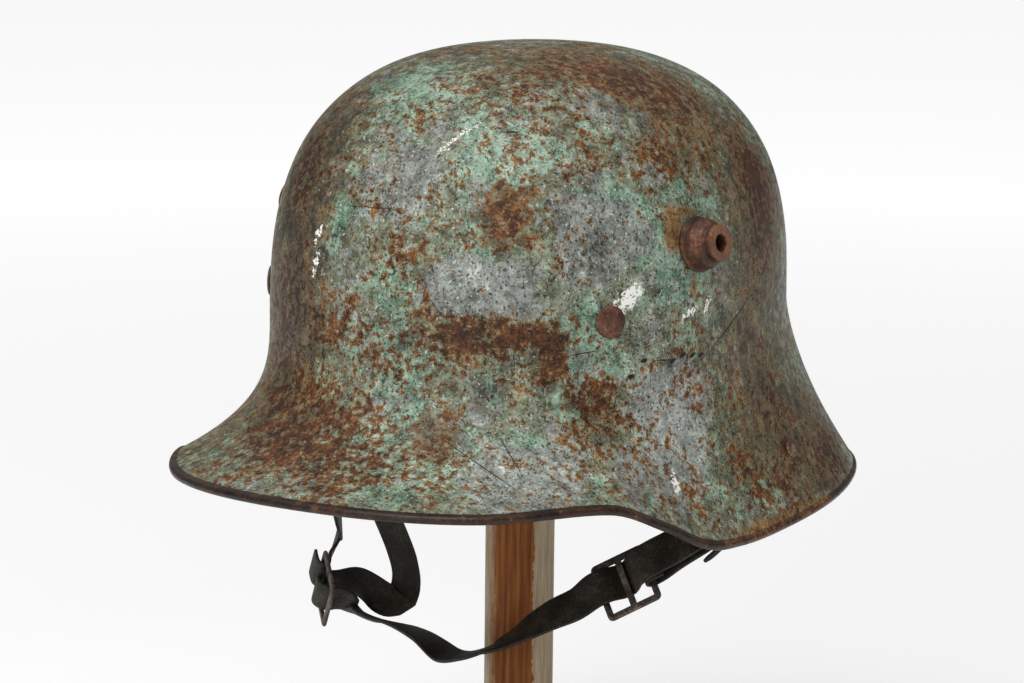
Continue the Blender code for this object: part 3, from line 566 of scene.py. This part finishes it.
def nearest_mark(tree, coords, marks):
    """Distance to the nearest of some marks: 0 at a mark's middle line, 1 at its edge."""
    nearest = None
    for mark in marks:
        start = on_shell(mark.angle, mark.height * MM).translation
        end = on_shell(mark.to_angle, mark.to_height * MM).translation
        middle = on_shell((mark.angle + mark.to_angle) / 2, (mark.height + mark.to_height) / 2 * MM)
        out = middle.to_3x3().col[2]
        along = (end - start - out * (end - start).dot(out)).normalized()
        turn = Matrix((along, out.cross(along), out)).transposed()
        half_width = mark.half_width * MM
        inputs = {
            "Vector": coords,
            "Location": middle.translation,
            "Rotation": turn.to_euler(),
            "Scale": ((end - start).length / 2 + half_width, half_width, MARK_DEPTH),
        }
        placed = add_node(tree, MAPPING, inputs, vector_type="TEXTURE")
        away = add_node(tree, VECTOR_MATHS, (placed,), output="Value", operation="LENGTH")
        if nearest is None:
            nearest = away
        else:
            nearest = add_node(tree, MATHS, (nearest, away), operation="MINIMUM")
    return nearest


# From one layer of noise to the next, in metres
LAYER_SHIFT = Vector((0.371, 0.613, 0.257))

# Colours of each finish, from the darkest tone to the lightest, at these places of the tone
TONE_PLACES = (0.32, 0.42, 0.50, 0.59, 0.70)
SAGE = ("#2a291c", "#545746", "#757d69", "#8f9c89", "#bac5b4")
TEAL = ("#2c382d", "#5b7462", "#7f9b86", "#9cb6a3", "#c7d9ca")
GREY = ("#32332f", "#62645f", "#828581", "#9fa5a1", "#d3d8d3")
STAIN = ("#251c11", "#483b26", "#655539", "#7c6c4c", "#a39678")
RUST_STOPS = ((0.60, "#1a0e06"), (0.68, "#38210f"), (0.76, "#543217"), (0.85, "#734823"), (0.97, "#a07343"))
ORANGE_STOPS = ((0.32, "#40260f"), (0.45, "#764b22"), (0.58, "#9d6d3b"), (0.72, "#c59f6c"))
BEAD_STOPS = ((0.32, "#0c0705"), (0.46, "#20130c"), (0.58, "#3e2719"), (0.74, "#8a674c"))


def worn_paint(settings):
    """Old brushed-on field paint over rusting steel.

    Paint: thin, chalky and mottled, so the colour changes every millimetre between olive, teal and blue-grey.
    Rust: brown islands with ragged edges in a brown stain, and small flecks all over. Marks: white chips,
    scratches and small pits that hold grime. The rolled edge is nearly black, with rust at the left skirt.
    """
    made, tree, shader, coords = new_material("Chalky field paint over rusted steel")
    layers = {
        name: add_node(tree, ATTRIBUTE, output="Fac", attribute_name=name)
        for name in (*PATCH_LAYERS, "inside", "bead")
    }

    def cloud(size, detail, rough, seed, vector=coords):
        """Noise whose largest grain is so many millimetres, moved so that no two layers match."""
        moved = add_node(tree, VECTOR_MATHS, (vector, LAYER_SHIFT * seed), operation="ADD")
        return add_node(tree, NOISE, noise_of(moved, size, detail, rough))

    def edge(field, low, high, to_low=0.0, to_high=1.0):
        """Mask with a soft edge where the field passes from one limit to the other."""
        limits = (low, high, to_low, to_high)
        return add_node(tree, RANGE, (field, *limits), interpolation_type="SMOOTHSTEP")

    def sums(*terms):
        """Weighted sum of (output, weight) pairs."""
        total = 0.0
        for field, weight in terms:
            total = add_node(tree, MATHS, (field, weight, total), operation="MULTIPLY_ADD")
        return total

    def drawn(along, tilt):
        """Coordinates in which noise is drawn out so many times, tilted from upright."""
        inputs = {"Vector": coords, "Rotation": (0, math.radians(tilt), 0), "Scale": (1, 1, 1 / along)}
        return add_node(tree, MAPPING, inputs)

    # Noises from broad to fine, and the tone that they make
    broad = cloud(32, 3, 0.6, 1.0)
    patchy = cloud(11, 4, 0.66, 2.0)
    flakes = cloud(5.5, 4, 0.72, 3.0)
    spots = cloud(3.0, 3, 0.70, 5.0)
    speck = cloud(1.5, 2, 0.7, 4.0)
    grain = cloud(0.85, 1, 0.5, 13.0)
    runs = cloud(1.6, 3, 0.65, 6.0, drawn(14, 4))
    tone = sums((speck, 0.26), (grain, 0.16), (flakes, 0.48), (runs, 0.05), (patchy, 0.46))
    # The pale layer shifts the tone: partly the paint's own lighter and darker areas, partly a painted sheen
    # and painted shade on the sides.
    tone = sums((tone, 1.0), (layers["pale"], 0.065), (1.0, -0.205))

    # Where each finish lies
    teal_field = sums((cloud(16, 5, 0.68, 7.0), 1.0), (layers["teal"], 0.34), (flakes, 0.22))
    grey_field = sums((cloud(19, 5, 0.68, 8.0), 1.0), (layers["grey"], 0.34), (flakes, 0.22))
    rust_field = sums((broad, 0.45), (patchy, 0.50), (spots, 0.95), (speck, 0.17), (layers["rust"], 0.22))
    rust_field = sums((rust_field, 1.0), (layers["inside"], 0.3))
    stain_field = sums((layers["stain"], 0.20), (rust_field, 1.0))
    orange_field = sums((flakes, 0.5), (patchy, 0.5), (layers["orange"], 0.4))
    fleck_field = sums((cloud(2.6, 2, 0.6, 14.0), 1.0), (patchy, 0.30), (broad, 0.15))
    dark_specks = edge(cloud(1.1, 1, 0.5, 9.0), 0.615, 0.665, 0.0, 0.85)
    pale_specks = edge(cloud(1.4, 3, 0.6, 10.0), 0.635, 0.665, 0.0, 0.7)
    hairs = edge(cloud(0.9, 1, 0.5, 11.0, drawn(26, 38)), 0.70, 0.74, 0.0, 0.55)
    pale_hairs = edge(cloud(0.9, 1, 0.5, 12.0, drawn(22, -52)), 0.70, 0.74, 0.0, 0.45)
    rusted = edge(rust_field, 1.125, 1.155)

    wander = add_node(tree, NOISE, noise_of(coords, 2.2, 2, 0.8), output="Color")
    wander = add_node(tree, VECTOR_MATHS, (wander, (0.5, 0.5, 0.5)), operation="SUBTRACT")

    def marked(marks, reach, inner, outer):
        """Mask of some marks with ragged edges, whose coordinates wander by up to half the reach."""
        ragged = (wander, (reach, reach, reach), coords)
        ragged = add_node(tree, VECTOR_MATHS, ragged, operation="MULTIPLY_ADD")
        return edge(nearest_mark(tree, ragged, marks), inner, outer, 1.0, 0.0)

    chips = marked(CHIPS, 9 * MM, 0.75, 1.05)
    chips = add_node(tree, MATHS, (chips, edge(speck, 0.38, 0.46)), operation="MULTIPLY")
    scratches = marked(SCRATCHES, 0.5 * MM, 0.6, 1.2)
    pits = marked(PITS, 0.8 * MM, 0.6, 1.2)

    # One finish over another, from the paint up
    colour, teal, grey, stain = (
        add_node(tree, RAMP, (tone,), stops=tuple(zip(TONE_PLACES, codes)))
        for codes in (SAGE, TEAL, GREY, STAIN)
    )
    orange = add_node(tree, RAMP, (tone,), stops=ORANGE_STOPS)
    rust = add_node(tree, RAMP, (sums((tone, 1.0), (speck, 0.50)),), stops=RUST_STOPS)
    bead = add_node(tree, RAMP, (tone,), stops=BEAD_STOPS)
    rusty = edge(orange_field, 0.60, 0.76, 0.0, 0.9)
    bead = add_node(tree, MIX, {0: rusty, 6: bead, 7: rust}, output=2, data_type="RGBA")
    for top, mask in (
        (teal, edge(teal_field, 0.645, 0.685, 0.0, 0.92)),
        (grey, edge(grey_field, 0.65, 0.71, 0.0, 0.85)),
        (shade("#d6d9cd"), pale_specks),
        (shade("#c3c8bb"), pale_hairs),
        (shade("#2b2519"), hairs),
        (orange, edge(orange_field, 0.64, 0.80, 0.0, 0.85)),
        (stain, edge(stain_field, 1.01, 1.16, 0.0, 0.85)),
        (shade("#82683f"), edge(rust_field, 1.07, 1.13, 0.0, 0.5)),
        (shade("#8d7750"), edge(fleck_field, 0.845, 0.895, 0.0, 0.55)),
        (shade("#221b11"), dark_specks),
        (rust, edge(fleck_field, 0.895, 0.915)),
        (rust, rusted),
        (shade("#35190d"), edge(rust_field, 1.19, 1.34, 0.0, 0.6)),
        (shade("#f3f2ec"), chips),
        (shade("#241a10"), scratches),
        (shade("#17110b"), pits),
        (bead, edge(layers["bead"], 0.35, 0.6)),
    ):
        colour = add_node(tree, MIX, {0: mask, 6: colour, 7: top}, output=2, data_type="RGBA")

    height = sums((speck, 0.35), (spots, 0.4), (rusted, -0.25), (scratches, -0.6), (pits, -2.0))
    rough = sums((spots, 0.5), (speck, 0.3), (layers["bead"], -0.15), (1.0, settings.paint_roughness - 0.4))
    inputs = {
        "Base Color": colour,
        "Roughness": rough,
        "Specular IOR Level": 0.3,
        "Normal": add_node(tree, BUMP, {"Strength": 0.8, "Distance": 0.45 * MM, "Height": height}),
    }
    set_inputs(tree, shader, inputs)
    return made


# Painted shade along a vent lug, from the wall to its mouth: multipliers that darken it near the wall and in
# the neck, where shadow falls
LUG_SHADE_STOPS = (
    (0.0, "#ffffff"),
    (0.14, "#cfcfcf"),
    (0.50, "#e8e8e8"),
    (0.64, "#ffffff"),
    (0.76, "#8a8a8a"),
    (0.86, "#f0f0f0"),
)


def rusted_forging(name, dark, middle, light):
    """Turned steel with a tight crust of rust: brown and even, with lighter grains where the crust is thin.

    Hollows are darker: painted shade from ambient occlusion. The attribute along_lug runs from 0 at the wall
    to 1 at a lug's mouth, and gives the worn mouth and the painted shade near the wall and in the neck.
    """
    made, tree, shader, coords = new_material(name)
    grain = add_node(tree, NOISE, noise_of(coords, 1.4, 6, 0.75))
    stain = add_node(tree, NOISE, noise_of(coords, 9, 3, 0.6))
    tone = add_node(tree, MATHS, (grain, stain), operation="ADD")
    tone = add_node(tree, MATHS, (tone, 0.5), operation="MULTIPLY")
    colour = add_node(tree, RAMP, (tone,), stops=((0.36, dark), (0.50, middle), (0.64, light)))
    along = add_node(tree, ATTRIBUTE, output="Fac", attribute_name="along_lug")
    worn = add_node(tree, RANGE, (along, 0.95, 1.0, 0.0, 0.30))
    # Painted shade along the lug: darker near the wall and in the neck
    lug_shade = add_node(tree, RAMP, (along,), stops=LUG_SHADE_STOPS)
    # Painted shade: ambient occlusion mixes the colour towards near black in hollows and under ledges, where
    # shade falls.
    hollow = add_node(tree, "ShaderNodeAmbientOcclusion", {"Distance": 5 * MM}, output="AO", samples=8)
    open_air = add_node(tree, RANGE, (hollow, 0.35, 0.95))
    colour = add_node(tree, MIX, {0: worn, 6: colour, 7: shade("#b07f5e")}, output=2, data_type="RGBA")
    # The painted shade along the lug multiplies the colour
    inputs = {0: 1.0, 6: colour, 7: lug_shade}
    colour = add_node(tree, MIX, inputs, output=2, data_type="RGBA", blend_type="MULTIPLY")
    colour = add_node(tree, MIX, {0: open_air, 6: shade("#0c0705"), 7: colour}, output=2, data_type="RGBA")
    inputs = {
        "Base Color": colour,
        "Roughness": 0.55,
        "Metallic": 0.25,
        "Normal": add_node(tree, BUMP, {"Strength": 0.6, "Distance": 0.25 * MM, "Height": grain}),
    }
    set_inputs(tree, shader, inputs)
    return made


# Leather, from its cracks and pores to where it is rubbed
LEATHER_STOPS = ((0.38, "#0e0c08"), (0.50, "#262219"), (0.60, "#423c2f"), (0.72, "#605747"))


def strap_leather():
    """Old harness leather: near black, with brown where the grain is rubbed and fine cracks across it."""
    made, tree, shader, coords = new_material("Dry black harness leather")
    grain = add_node(tree, NOISE, noise_of(coords, 1.2, 5, 0.7))
    rubbed = add_node(tree, NOISE, noise_of(coords, 14, 5, 0.65))
    tone = add_node(tree, MATHS, (grain, rubbed), operation="ADD")
    tone = add_node(tree, MATHS, (tone, 0.5), operation="MULTIPLY")
    inputs = {"Vector": coords, "Scale": 1 / (1.6 * MM)}
    cracks = add_node(tree, "ShaderNodeTexVoronoi", inputs, output="Distance", feature="DISTANCE_TO_EDGE")
    cracks = add_node(tree, RANGE, (cracks, 0.0, 0.12))
    height = add_node(tree, MATHS, (cracks, 0.4, grain), operation="MULTIPLY_ADD")
    inputs = {
        "Base Color": add_node(tree, RAMP, (tone,), stops=LEATHER_STOPS),
        "Roughness": 0.62,
        "Specular IOR Level": 0.35,
        "Normal": add_node(tree, BUMP, {"Strength": 0.5, "Distance": 0.2 * MM, "Height": height}),
    }
    set_inputs(tree, shader, inputs)
    return made


# Pine. Its rings have a rate in radians a millimetre, a wander in millimetres, and a direction in the flat
# pieces. The post's heartwood faces some degrees from X, and its edges are some millimetres off the axis.
RING_RATE = 1.9
RING_WANDER = 9.0
FLAT_RINGS = Vector((0.0, 0.55, 0.3))
HEART_FACES = 31.7
HEART_TORN_EDGE = (-10.7, -7.7)
HEART_CLEAN_EDGE = (7.2, 7.6)
SAPWOOD_STOPS = ((0.30, "#93826a"), (0.50, "#ad9a7e"), (0.72, "#c2b49c"))
HEARTWOOD_STOPS = ((0.30, "#5a3010"), (0.50, "#7c4416"), (0.72, "#965d24"))


def pine(name, heart):
    """Bare turned pine: pale sapwood with fine straight grain.

    The upright post has a warm band of heartwood with a torn edge. The other pieces have their grain along X.
    """
    made, tree, shader, coords = new_material(name)
    drawn_out = (1, 1, 0.04) if heart else (0.04, 1, 1)
    stretched = add_node(tree, MAPPING, {"Vector": coords, "Scale": drawn_out})
    wavy = add_node(tree, NOISE, noise_of(stretched, 9, 4, 0.6))
    fibre = add_node(tree, NOISE, noise_of(stretched, 0.9, 3, 0.7))
    faces = math.radians(HEART_FACES)
    through = (Vector((math.cos(faces), math.sin(faces), 0)) if heart else FLAT_RINGS) / MM
    across = add_node(tree, VECTOR_MATHS, (coords, through), output="Value", operation="DOT_PRODUCT")
    rings = add_node(tree, MATHS, (wavy, RING_WANDER, across), operation="MULTIPLY_ADD")
    rings = add_node(tree, MATHS, (rings, RING_RATE), operation="MULTIPLY")
    rings = add_node(tree, MATHS, (rings,), operation="SINE")
    tone = add_node(tree, MATHS, (rings, 0.07, fibre), operation="MULTIPLY_ADD")
    colour = add_node(tree, RAMP, (tone,), stops=SAPWOOD_STOPS)
    if heart:
        warm = add_node(tree, RAMP, (tone,), stops=HEARTWOOD_STOPS)
        torn = add_node(tree, NOISE, noise_of(coords, 5, 5, 0.75))
        place = add_node(tree, MATHS, (torn, 3.6, across), operation="MULTIPLY_ADD")
        start = add_node(tree, RANGE, (place, *HEART_TORN_EDGE))
        stop = add_node(tree, RANGE, (place, *HEART_CLEAN_EDGE, 1.0, 0.0))
        band = add_node(tree, MATHS, (start, stop), operation="MULTIPLY")
        colour = add_node(tree, MIX, {0: band, 6: colour, 7: warm}, output=2, data_type="RGBA")
    inputs = {
        "Base Color": colour,
        "Roughness": 0.65,
        "Specular IOR Level": 0.25,
        "Normal": add_node(tree, BUMP, {"Strength": 0.25, "Distance": 0.15 * MM, "Height": tone}),
    }
    set_inputs(tree, shader, inputs)
    return made


# Mesh helpers


def turned(profile, place, sides):
    """A profile of (radius, height) pairs spun about the Z axis of a frame."""
    bm = bmesh.new()
    verts = [bm.verts.new((radius, 0, height)) for radius, height in profile]
    edges = [bm.edges.new(pair) for pair in zip(verts, verts[1:])]
    bmesh.ops.spin(
        bm, geom=verts + edges, cent=(0, 0, 0), axis=(0, 0, 1), angle=2 * math.pi, steps=sides, use_merge=True
    )
    bmesh.ops.remove_doubles(bm, verts=bm.verts, dist=0.002 * MM)
    bmesh.ops.transform(bm, matrix=place, verts=bm.verts)
    bmesh.ops.recalc_face_normals(bm, faces=bm.faces)
    return bm


def rounded(points, radius, steps=4):
    """A profile with each inner corner replaced by a short curve of about that radius."""
    made = [points[0]]
    for before, corner, after in zip(points, points[1:], points[2:]):
        corner = Vector(corner)
        back, ahead = Vector(before) - corner, Vector(after) - corner
        start = corner + back.normalized() * min(radius, back.length / 2)
        end = corner + ahead.normalized() * min(radius, ahead.length / 2)
        for step in range(steps + 1):
            share = step / steps
            made.append(tuple(start.lerp(corner, share).lerp(corner.lerp(end, share), share)))
    made.append(points[-1])
    return made


def lug_profile():
    """Outside of the hollow lug from the wall to its mouth, then down the bore and round the peened end."""
    base, tube, peen = VENT_LUG_BASE / 2, VENT_LUG_TUBE / 2, VENT_LUG_PEEN / 2
    length, bore = VENT_LUG_LENGTH, VENT_LUG_BORE / 2
    inside = -WALL - INNER_GAP
    end = inside - PEEN_THICKNESS
    profile = [(tube, SEAT_GAP), (base, SEAT_GAP - VENT_LUG_LIP)]
    profile += [(radius * base, height * length) for radius, height in VENT_LUG_OUTSIDE]
    profile += [(1.15 * bore, length), (bore, length - 0.15 * bore)]
    profile += [(bore, end), (peen, end), (peen, inside), (tube, inside), (tube, SEAT_GAP)]
    return rounded(profile, FITTING_ROUND)


def rivet_profile():
    """Flat round head outside, shank through the wall and a plain peened end inside."""
    head, rise, shank = LINER_RIVET_HEAD, LINER_RIVET_RISE, LINER_RIVET_SHANK
    inside = -WALL - INNER_GAP
    end = inside - PEEN_THICKNESS
    profile = [
        (0, SEAT_GAP + rise),
        (0.30 * head, SEAT_GAP + rise * 0.95),
        (0.44 * head, SEAT_GAP + rise * 0.68),
        (0.50 * head, SEAT_GAP + rise * 0.30),
        (0.50 * head, SEAT_GAP),
        (0.50 * shank, SEAT_GAP),
        (0.50 * shank, inside),
        (0.40 * head, inside),
        (0.40 * head, inside - 0.6 * PEEN_THICKNESS),
        (0.30 * head, end),
        (0, end),
    ]
    return rounded(profile, FITTING_ROUND)


def solid_copy(node):
    """A CAD node's mesh with its loose triangles merged and joined to four-sided faces."""
    bm = bmesh.new()
    bm.from_mesh(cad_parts[node].data)
    bmesh.ops.remove_doubles(bm, verts=bm.verts, dist=0.005 * MM)
    bmesh.ops.join_triangles(
        bm, faces=bm.faces, angle_face_threshold=math.radians(50), angle_shape_threshold=math.radians(60)
    )
    return bm


def bevel_sharp(bm, above, width, segments):
    """Bevels the edges whose faces turn by more than an angle in degrees."""
    sharp = [edge for edge in bm.edges if edge.calc_face_angle(0) > math.radians(above)]
    bmesh.ops.bevel(
        bm, geom=sharp, offset=width, segments=segments, profile=0.5, affect="EDGES", material=-1
    )


def add_smoothing(obj, levels):
    """Rounds a piece with a subdivision modifier."""
    smooth = obj.modifiers.new("Smooth", "SUBSURF")
    smooth.levels = smooth.render_levels = levels


class ShellSettings(bpy.types.PropertyGroup):
    """Finish of the shell."""

    paint_roughness: bpy.props.FloatProperty(
        name="Paint roughness",
        description="How matt the paint is",
        default=0.52,
        min=0.2,
        max=1.0,
        subtype="FACTOR",
    )
    wave: bpy.props.FloatProperty(
        name="Waviness",
        description="Depth of the hammered unevenness",
        default=0.25 * MM,
        unit="LENGTH",
        precision=5,
    )


class StageSettings(bpy.types.PropertyGroup):
    """Camera and floor of the studio."""

    azimuth: bpy.props.FloatProperty(
        name="Azimuth",
        description="Camera's turn to the helmet's left",
        default=math.radians(31.73),
        subtype="ANGLE",
    )
    elevation: bpy.props.FloatProperty(
        name="Elevation",
        description="Camera's height as an angle",
        default=math.radians(9.79),
        subtype="ANGLE",
    )
    distance: bpy.props.FloatProperty(
        name="Distance",
        description="From the camera to its target",
        default=1422.2 * MM,
        unit="LENGTH",
    )
    floor_size: bpy.props.FloatProperty(
        name="Floor",
        description="Radius of the pale floor",
        default=6.0,
        unit="LENGTH",
    )


class HELMET_OT_shell(bpy.types.Operator):
    """Adds the pressed shell with its rolled edge and worn paint"""

    bl_idname = "helmet.shell"
    bl_label = "Shell"

    def execute(self, context):
        settings = context.scene.helmet_shell
        sections = [shell_section(360 * step / AROUND) for step in range(AROUND)]
        rows = len(sections[0]) - 1
        bm = bmesh.new()
        bmesh.ops.create_grid(bm, x_segments=AROUND, y_segments=rows, size=1)
        layers = {name: bm.verts.layers.float.new(name) for name in (*PATCH_LAYERS, "inside", "bead")}
        for vert in bm.verts:
            column = round((vert.co.x + 1) / 2 * AROUND) % AROUND
            row = round((vert.co.y + 1) / 2 * rows)
            angle, point = 360 * column / AROUND, sections[column][row]
            vert.co = outward(angle, point.radius, point.height)
            reach = max(point.radius, LEAST_REACH)
            wave = noise.noise(vert.co / WAVE_LENGTH) * settings.wave * (1 - point.bead)
            wave -= patch_sum(DENTS, angle, point.height, reach) * MM
            vert.co += Vector((vert.co.x, vert.co.y, 0)).normalized() * wave
            vert[layers["inside"]] = point.inside
            vert[layers["bead"]] = point.bead
            if not point.inside:
                for name, patches in PATCH_LAYERS.items():
                    vert[layers[name]] = patch_sum(patches, angle, point.height, reach)
        bmesh.ops.remove_doubles(bm, verts=bm.verts, dist=0.001 * MM)
        bmesh.ops.recalc_face_normals(bm, faces=bm.faces)
        finish_mesh("shell_painted", bm, worn_paint(settings), replaces="shell")
        return {"FINISHED"}


class HELMET_OT_fittings(bpy.types.Operator):
    """Adds the hollow lugs and the rivets"""

    bl_idname = "helmet.fittings"
    bl_label = "Lugs and rivets"

    def execute(self, context):
        forged = rusted_forging("Rusted turned steel", "#170b05", "#54301d", "#966246")
        rivet_steel = rusted_forging("Rusted rivet steel", "#24150c", "#5c3826", "#8f6448")
        for name, angle in (("left", VENT_LUG_LEFT_ANGLE), ("right", -VENT_LUG_RIGHT_ANGLE)):
            place = on_shell(angle, VENT_LUG_HEIGHT)
            bm = turned(lug_profile(), place, sides=64)
            along, from_wall = bm.verts.layers.float.new("along_lug"), place.inverted()
            for vert in bm.verts:
                spot = from_wall @ vert.co
                vert[along] = spot.z / VENT_LUG_LENGTH if spot.xy.length > VENT_LUG_BORE / 2 else 0.0
            finish_mesh(
                f"vent_lug_{name}_turned",
                bm,
                forged,
                sharp_above=50,
                replaces=f"vent_lug_{name}",
            )
        spots = {
            "left": (LINER_RIVET_LEFT_ANGLE, LINER_RIVET_HEIGHT),
            "right": (-LINER_RIVET_RIGHT_ANGLE, LINER_RIVET_HEIGHT),
            "rear": (180, LINER_RIVET_REAR_HEIGHT),
        }
        for name, (angle, height) in spots.items():
            finish_mesh(
                f"liner_rivet_{name}_head",
                turned(rivet_profile(), on_shell(angle, height), sides=48),
                rivet_steel,
                sharp_above=50,
                replaces=f"liner_rivet_{name}",
            )
        painted_over = rusted_forging("Rivet steel under thin paint", "#3a2d1d", "#756650", "#a39a82")
        cap = rounded([(radius * MM, height * MM) for radius, height in STRAP_LUG_CAP], FITTING_ROUND)
        for name, side in (("left", LEFT), ("right", RIGHT)):
            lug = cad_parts[f"strap_lug_{name}"]
            lug.data.materials.clear()
            lug.data.materials.append(rivet_steel)
            finish_mesh(
                f"strap_lug_{name}_head",
                turned(cap, on_shell(side * STRAP_LUG_ANGLE, STRAP_LUG_HEIGHT), sides=40),
                painted_over,
            )
        return {"FINISHED"}


class HELMET_OT_strap(bpy.types.Operator):
    """Adds the chin strap, its buckles and the thong end"""

    bl_idname = "helmet.strap"
    bl_label = "Chin strap"

    def execute(self, context):
        leather = strap_leather()
        bm = solid_copy("chin_strap")
        bevel_sharp(bm, 55, STRAP_ROUND, 2)
        strap = finish_mesh("chin_strap_leather", bm, leather, replaces="chin_strap")
        add_smoothing(strap, 1)
        bm = solid_copy("thong_end")
        thong = finish_mesh("thong_end_leather", bm, leather, replaces="thong_end")
        add_smoothing(thong, 2)
        steel = rusted_forging("Dark tarnished buckle steel", "#1d1714", "#4b3f39", "#86796f")
        for name in ("left", "right"):
            bm = solid_copy(f"strap_buckle_{name}")
            bevel_sharp(bm, 30, BUCKLE_ROUND, 3)
            finish_mesh(
                f"strap_buckle_{name}_steel",
                bm,
                steel,
                sharp_above=40,
                replaces=f"strap_buckle_{name}",
            )
        return {"FINISHED"}


class HELMET_OT_stand(bpy.types.Operator):
    """Adds the post, the head block and the foot"""

    bl_idname = "helmet.stand"
    bl_label = "Stand"

    def execute(self, context):
        post, low, high = POST_HIGH[0], POST_LOW[2], POST_HIGH[2]
        upright = Matrix.Identity(4)
        stick = rounded([(0, low), (post, low), (post, high), (0, high)], POST_ROUND)
        finish_mesh(
            "post_pine",
            turned(stick, upright, sides=96),
            pine("Turned pine with heartwood", heart=True),
            sharp_above=40,
            replaces="post",
        )
        sap = pine("Turned pine sapwood", heart=False)
        base, socket, top = BASE_HIGH[0], post + SEAT_GAP, BASE_HIGH[2]
        floor = low - SEAT_GAP
        foot = [(0, 0), (base, 0), (base, top), (socket, top), (socket, floor)]
        foot = rounded(foot, BASE_ROUND, steps=8) + [(0, floor)]
        finish_mesh(
            "base_pine",
            turned(foot, upright, sides=160),
            sap,
            sharp_above=40,
            replaces="base",
        )
        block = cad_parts["head_block"]
        block.data.materials.clear()
        block.data.materials.append(sap)
        return {"FINISHED"}


class HELMET_OT_stage(bpy.types.Operator):
    """Adds the pale floor, the soft lights and the camera"""

    bl_idname = "helmet.stage"
    bl_label = "Stage"

    def execute(self, context):
        settings = context.scene.helmet_stage
        bm = bmesh.new()
        bmesh.ops.create_circle(bm, cap_ends=True, segments=96, radius=settings.floor_size)
        made, tree, shader, coords = new_material("Matt white studio floor")
        away = add_node(tree, VECTOR_MATHS, (coords,), output="Value", operation="LENGTH")
        inputs = {
            "Base Color": shade("#f4f4f4"),
            "Roughness": 0.9,
            "Specular IOR Level": 0.1,
            "Emission Color": WHITE,
            "Emission Strength": add_node(tree, RANGE, (away, *FLOOR_GLOW)),
        }
        set_inputs(tree, shader, inputs)
        mesh = bpy.data.meshes.new("floor")
        bm.to_mesh(mesh)
        bm.free()
        mesh.materials.append(made)
        floor = bpy.data.objects.new("floor", mesh)
        context.scene.collection.objects.link(floor)

        world = bpy.data.worlds.new("Studio")
        world.use_nodes = True
        context.scene.world = world
        sky = world.node_tree
        ray = add_node(sky, "ShaderNodeTexCoord", output="Generated")
        rise = add_node(sky, "ShaderNodeSeparateXYZ", (ray,), output="Z")
        bright = add_node(sky, RANGE, (rise, *SKY_GLOW))
        set_inputs(sky, sky.nodes["Background"], {"Color": WHITE, "Strength": bright})
        context.scene.view_settings.view_transform = "Standard"

        turn, tilt = settings.azimuth, settings.elevation
        to_right = Vector((math.cos(turn), math.sin(turn), 0))
        target = to_right * TARGET_ASIDE + Vector((0, HELMET_SET_BACK, TARGET_HEIGHT))
        back = Vector((math.sin(turn) * math.cos(tilt), -math.cos(turn) * math.cos(tilt), math.sin(tilt)))
        camera = bpy.data.objects.new("camera", bpy.data.cameras.new("camera"))
        camera.data.lens = LENS
        camera.data.sensor_width = 36
        camera.data.clip_end = 50
        aim = back.to_track_quat("Z", "Y").to_matrix().to_4x4() @ Matrix.Rotation(ROLL, 4, "Z")
        camera.matrix_world = Matrix.Translation(target + back * settings.distance) @ aim
        context.scene.collection.objects.link(camera)
        context.scene.camera = camera

        for box in SOFTBOXES:
            light = bpy.data.lights.new(box.name, "AREA")
            light.energy = box.power
            light.size = box.size
            lamp = bpy.data.objects.new(box.name, light)
            aim = (box.place - SOFTBOX_TARGET).to_track_quat("Z", "Y").to_matrix().to_4x4()
            lamp.matrix_world = Matrix.Translation(box.place) @ aim
            context.scene.collection.objects.link(lamp)
        return {"FINISHED"}


class HELMET_PT_sidebar(bpy.types.Panel):
    """Lists the helmet's pieces"""

    bl_idname = "HELMET_PT_sidebar"
    bl_label = "Helmet on a post"
    bl_space_type = "VIEW_3D"
    bl_region_type = "UI"
    bl_category = "Helmet"

    def draw(self, context):
        for piece in PIECES:
            self.layout.operator(piece.bl_idname)
        for settings in (context.scene.helmet_shell, context.scene.helmet_stage):
            for name in settings.bl_rna.properties.keys()[2:]:
                self.layout.prop(settings, name)


PIECES = (HELMET_OT_shell, HELMET_OT_fittings, HELMET_OT_strap, HELMET_OT_stand, HELMET_OT_stage)
CLASSES = (ShellSettings, StageSettings, *PIECES, HELMET_PT_sidebar)


def register():
    """Adds the tools, and their settings on the scene."""
    for cls in CLASSES:
        bpy.utils.register_class(cls)
    bpy.types.Scene.helmet_shell = bpy.props.PointerProperty(type=ShellSettings)
    bpy.types.Scene.helmet_stage = bpy.props.PointerProperty(type=StageSettings)


def unregister():
    """Takes them away again."""
    del bpy.types.Scene.helmet_stage
    del bpy.types.Scene.helmet_shell
    for cls in reversed(CLASSES):
        bpy.utils.unregister_class(cls)


def main():
    """Builds every piece and the studio."""
    register()
    bpy.ops.helmet.shell()
    bpy.ops.helmet.fittings()
    bpy.ops.helmet.strap()
    bpy.ops.helmet.stand()
    bpy.ops.helmet.stage()


if __name__ == "__main__":
    main()
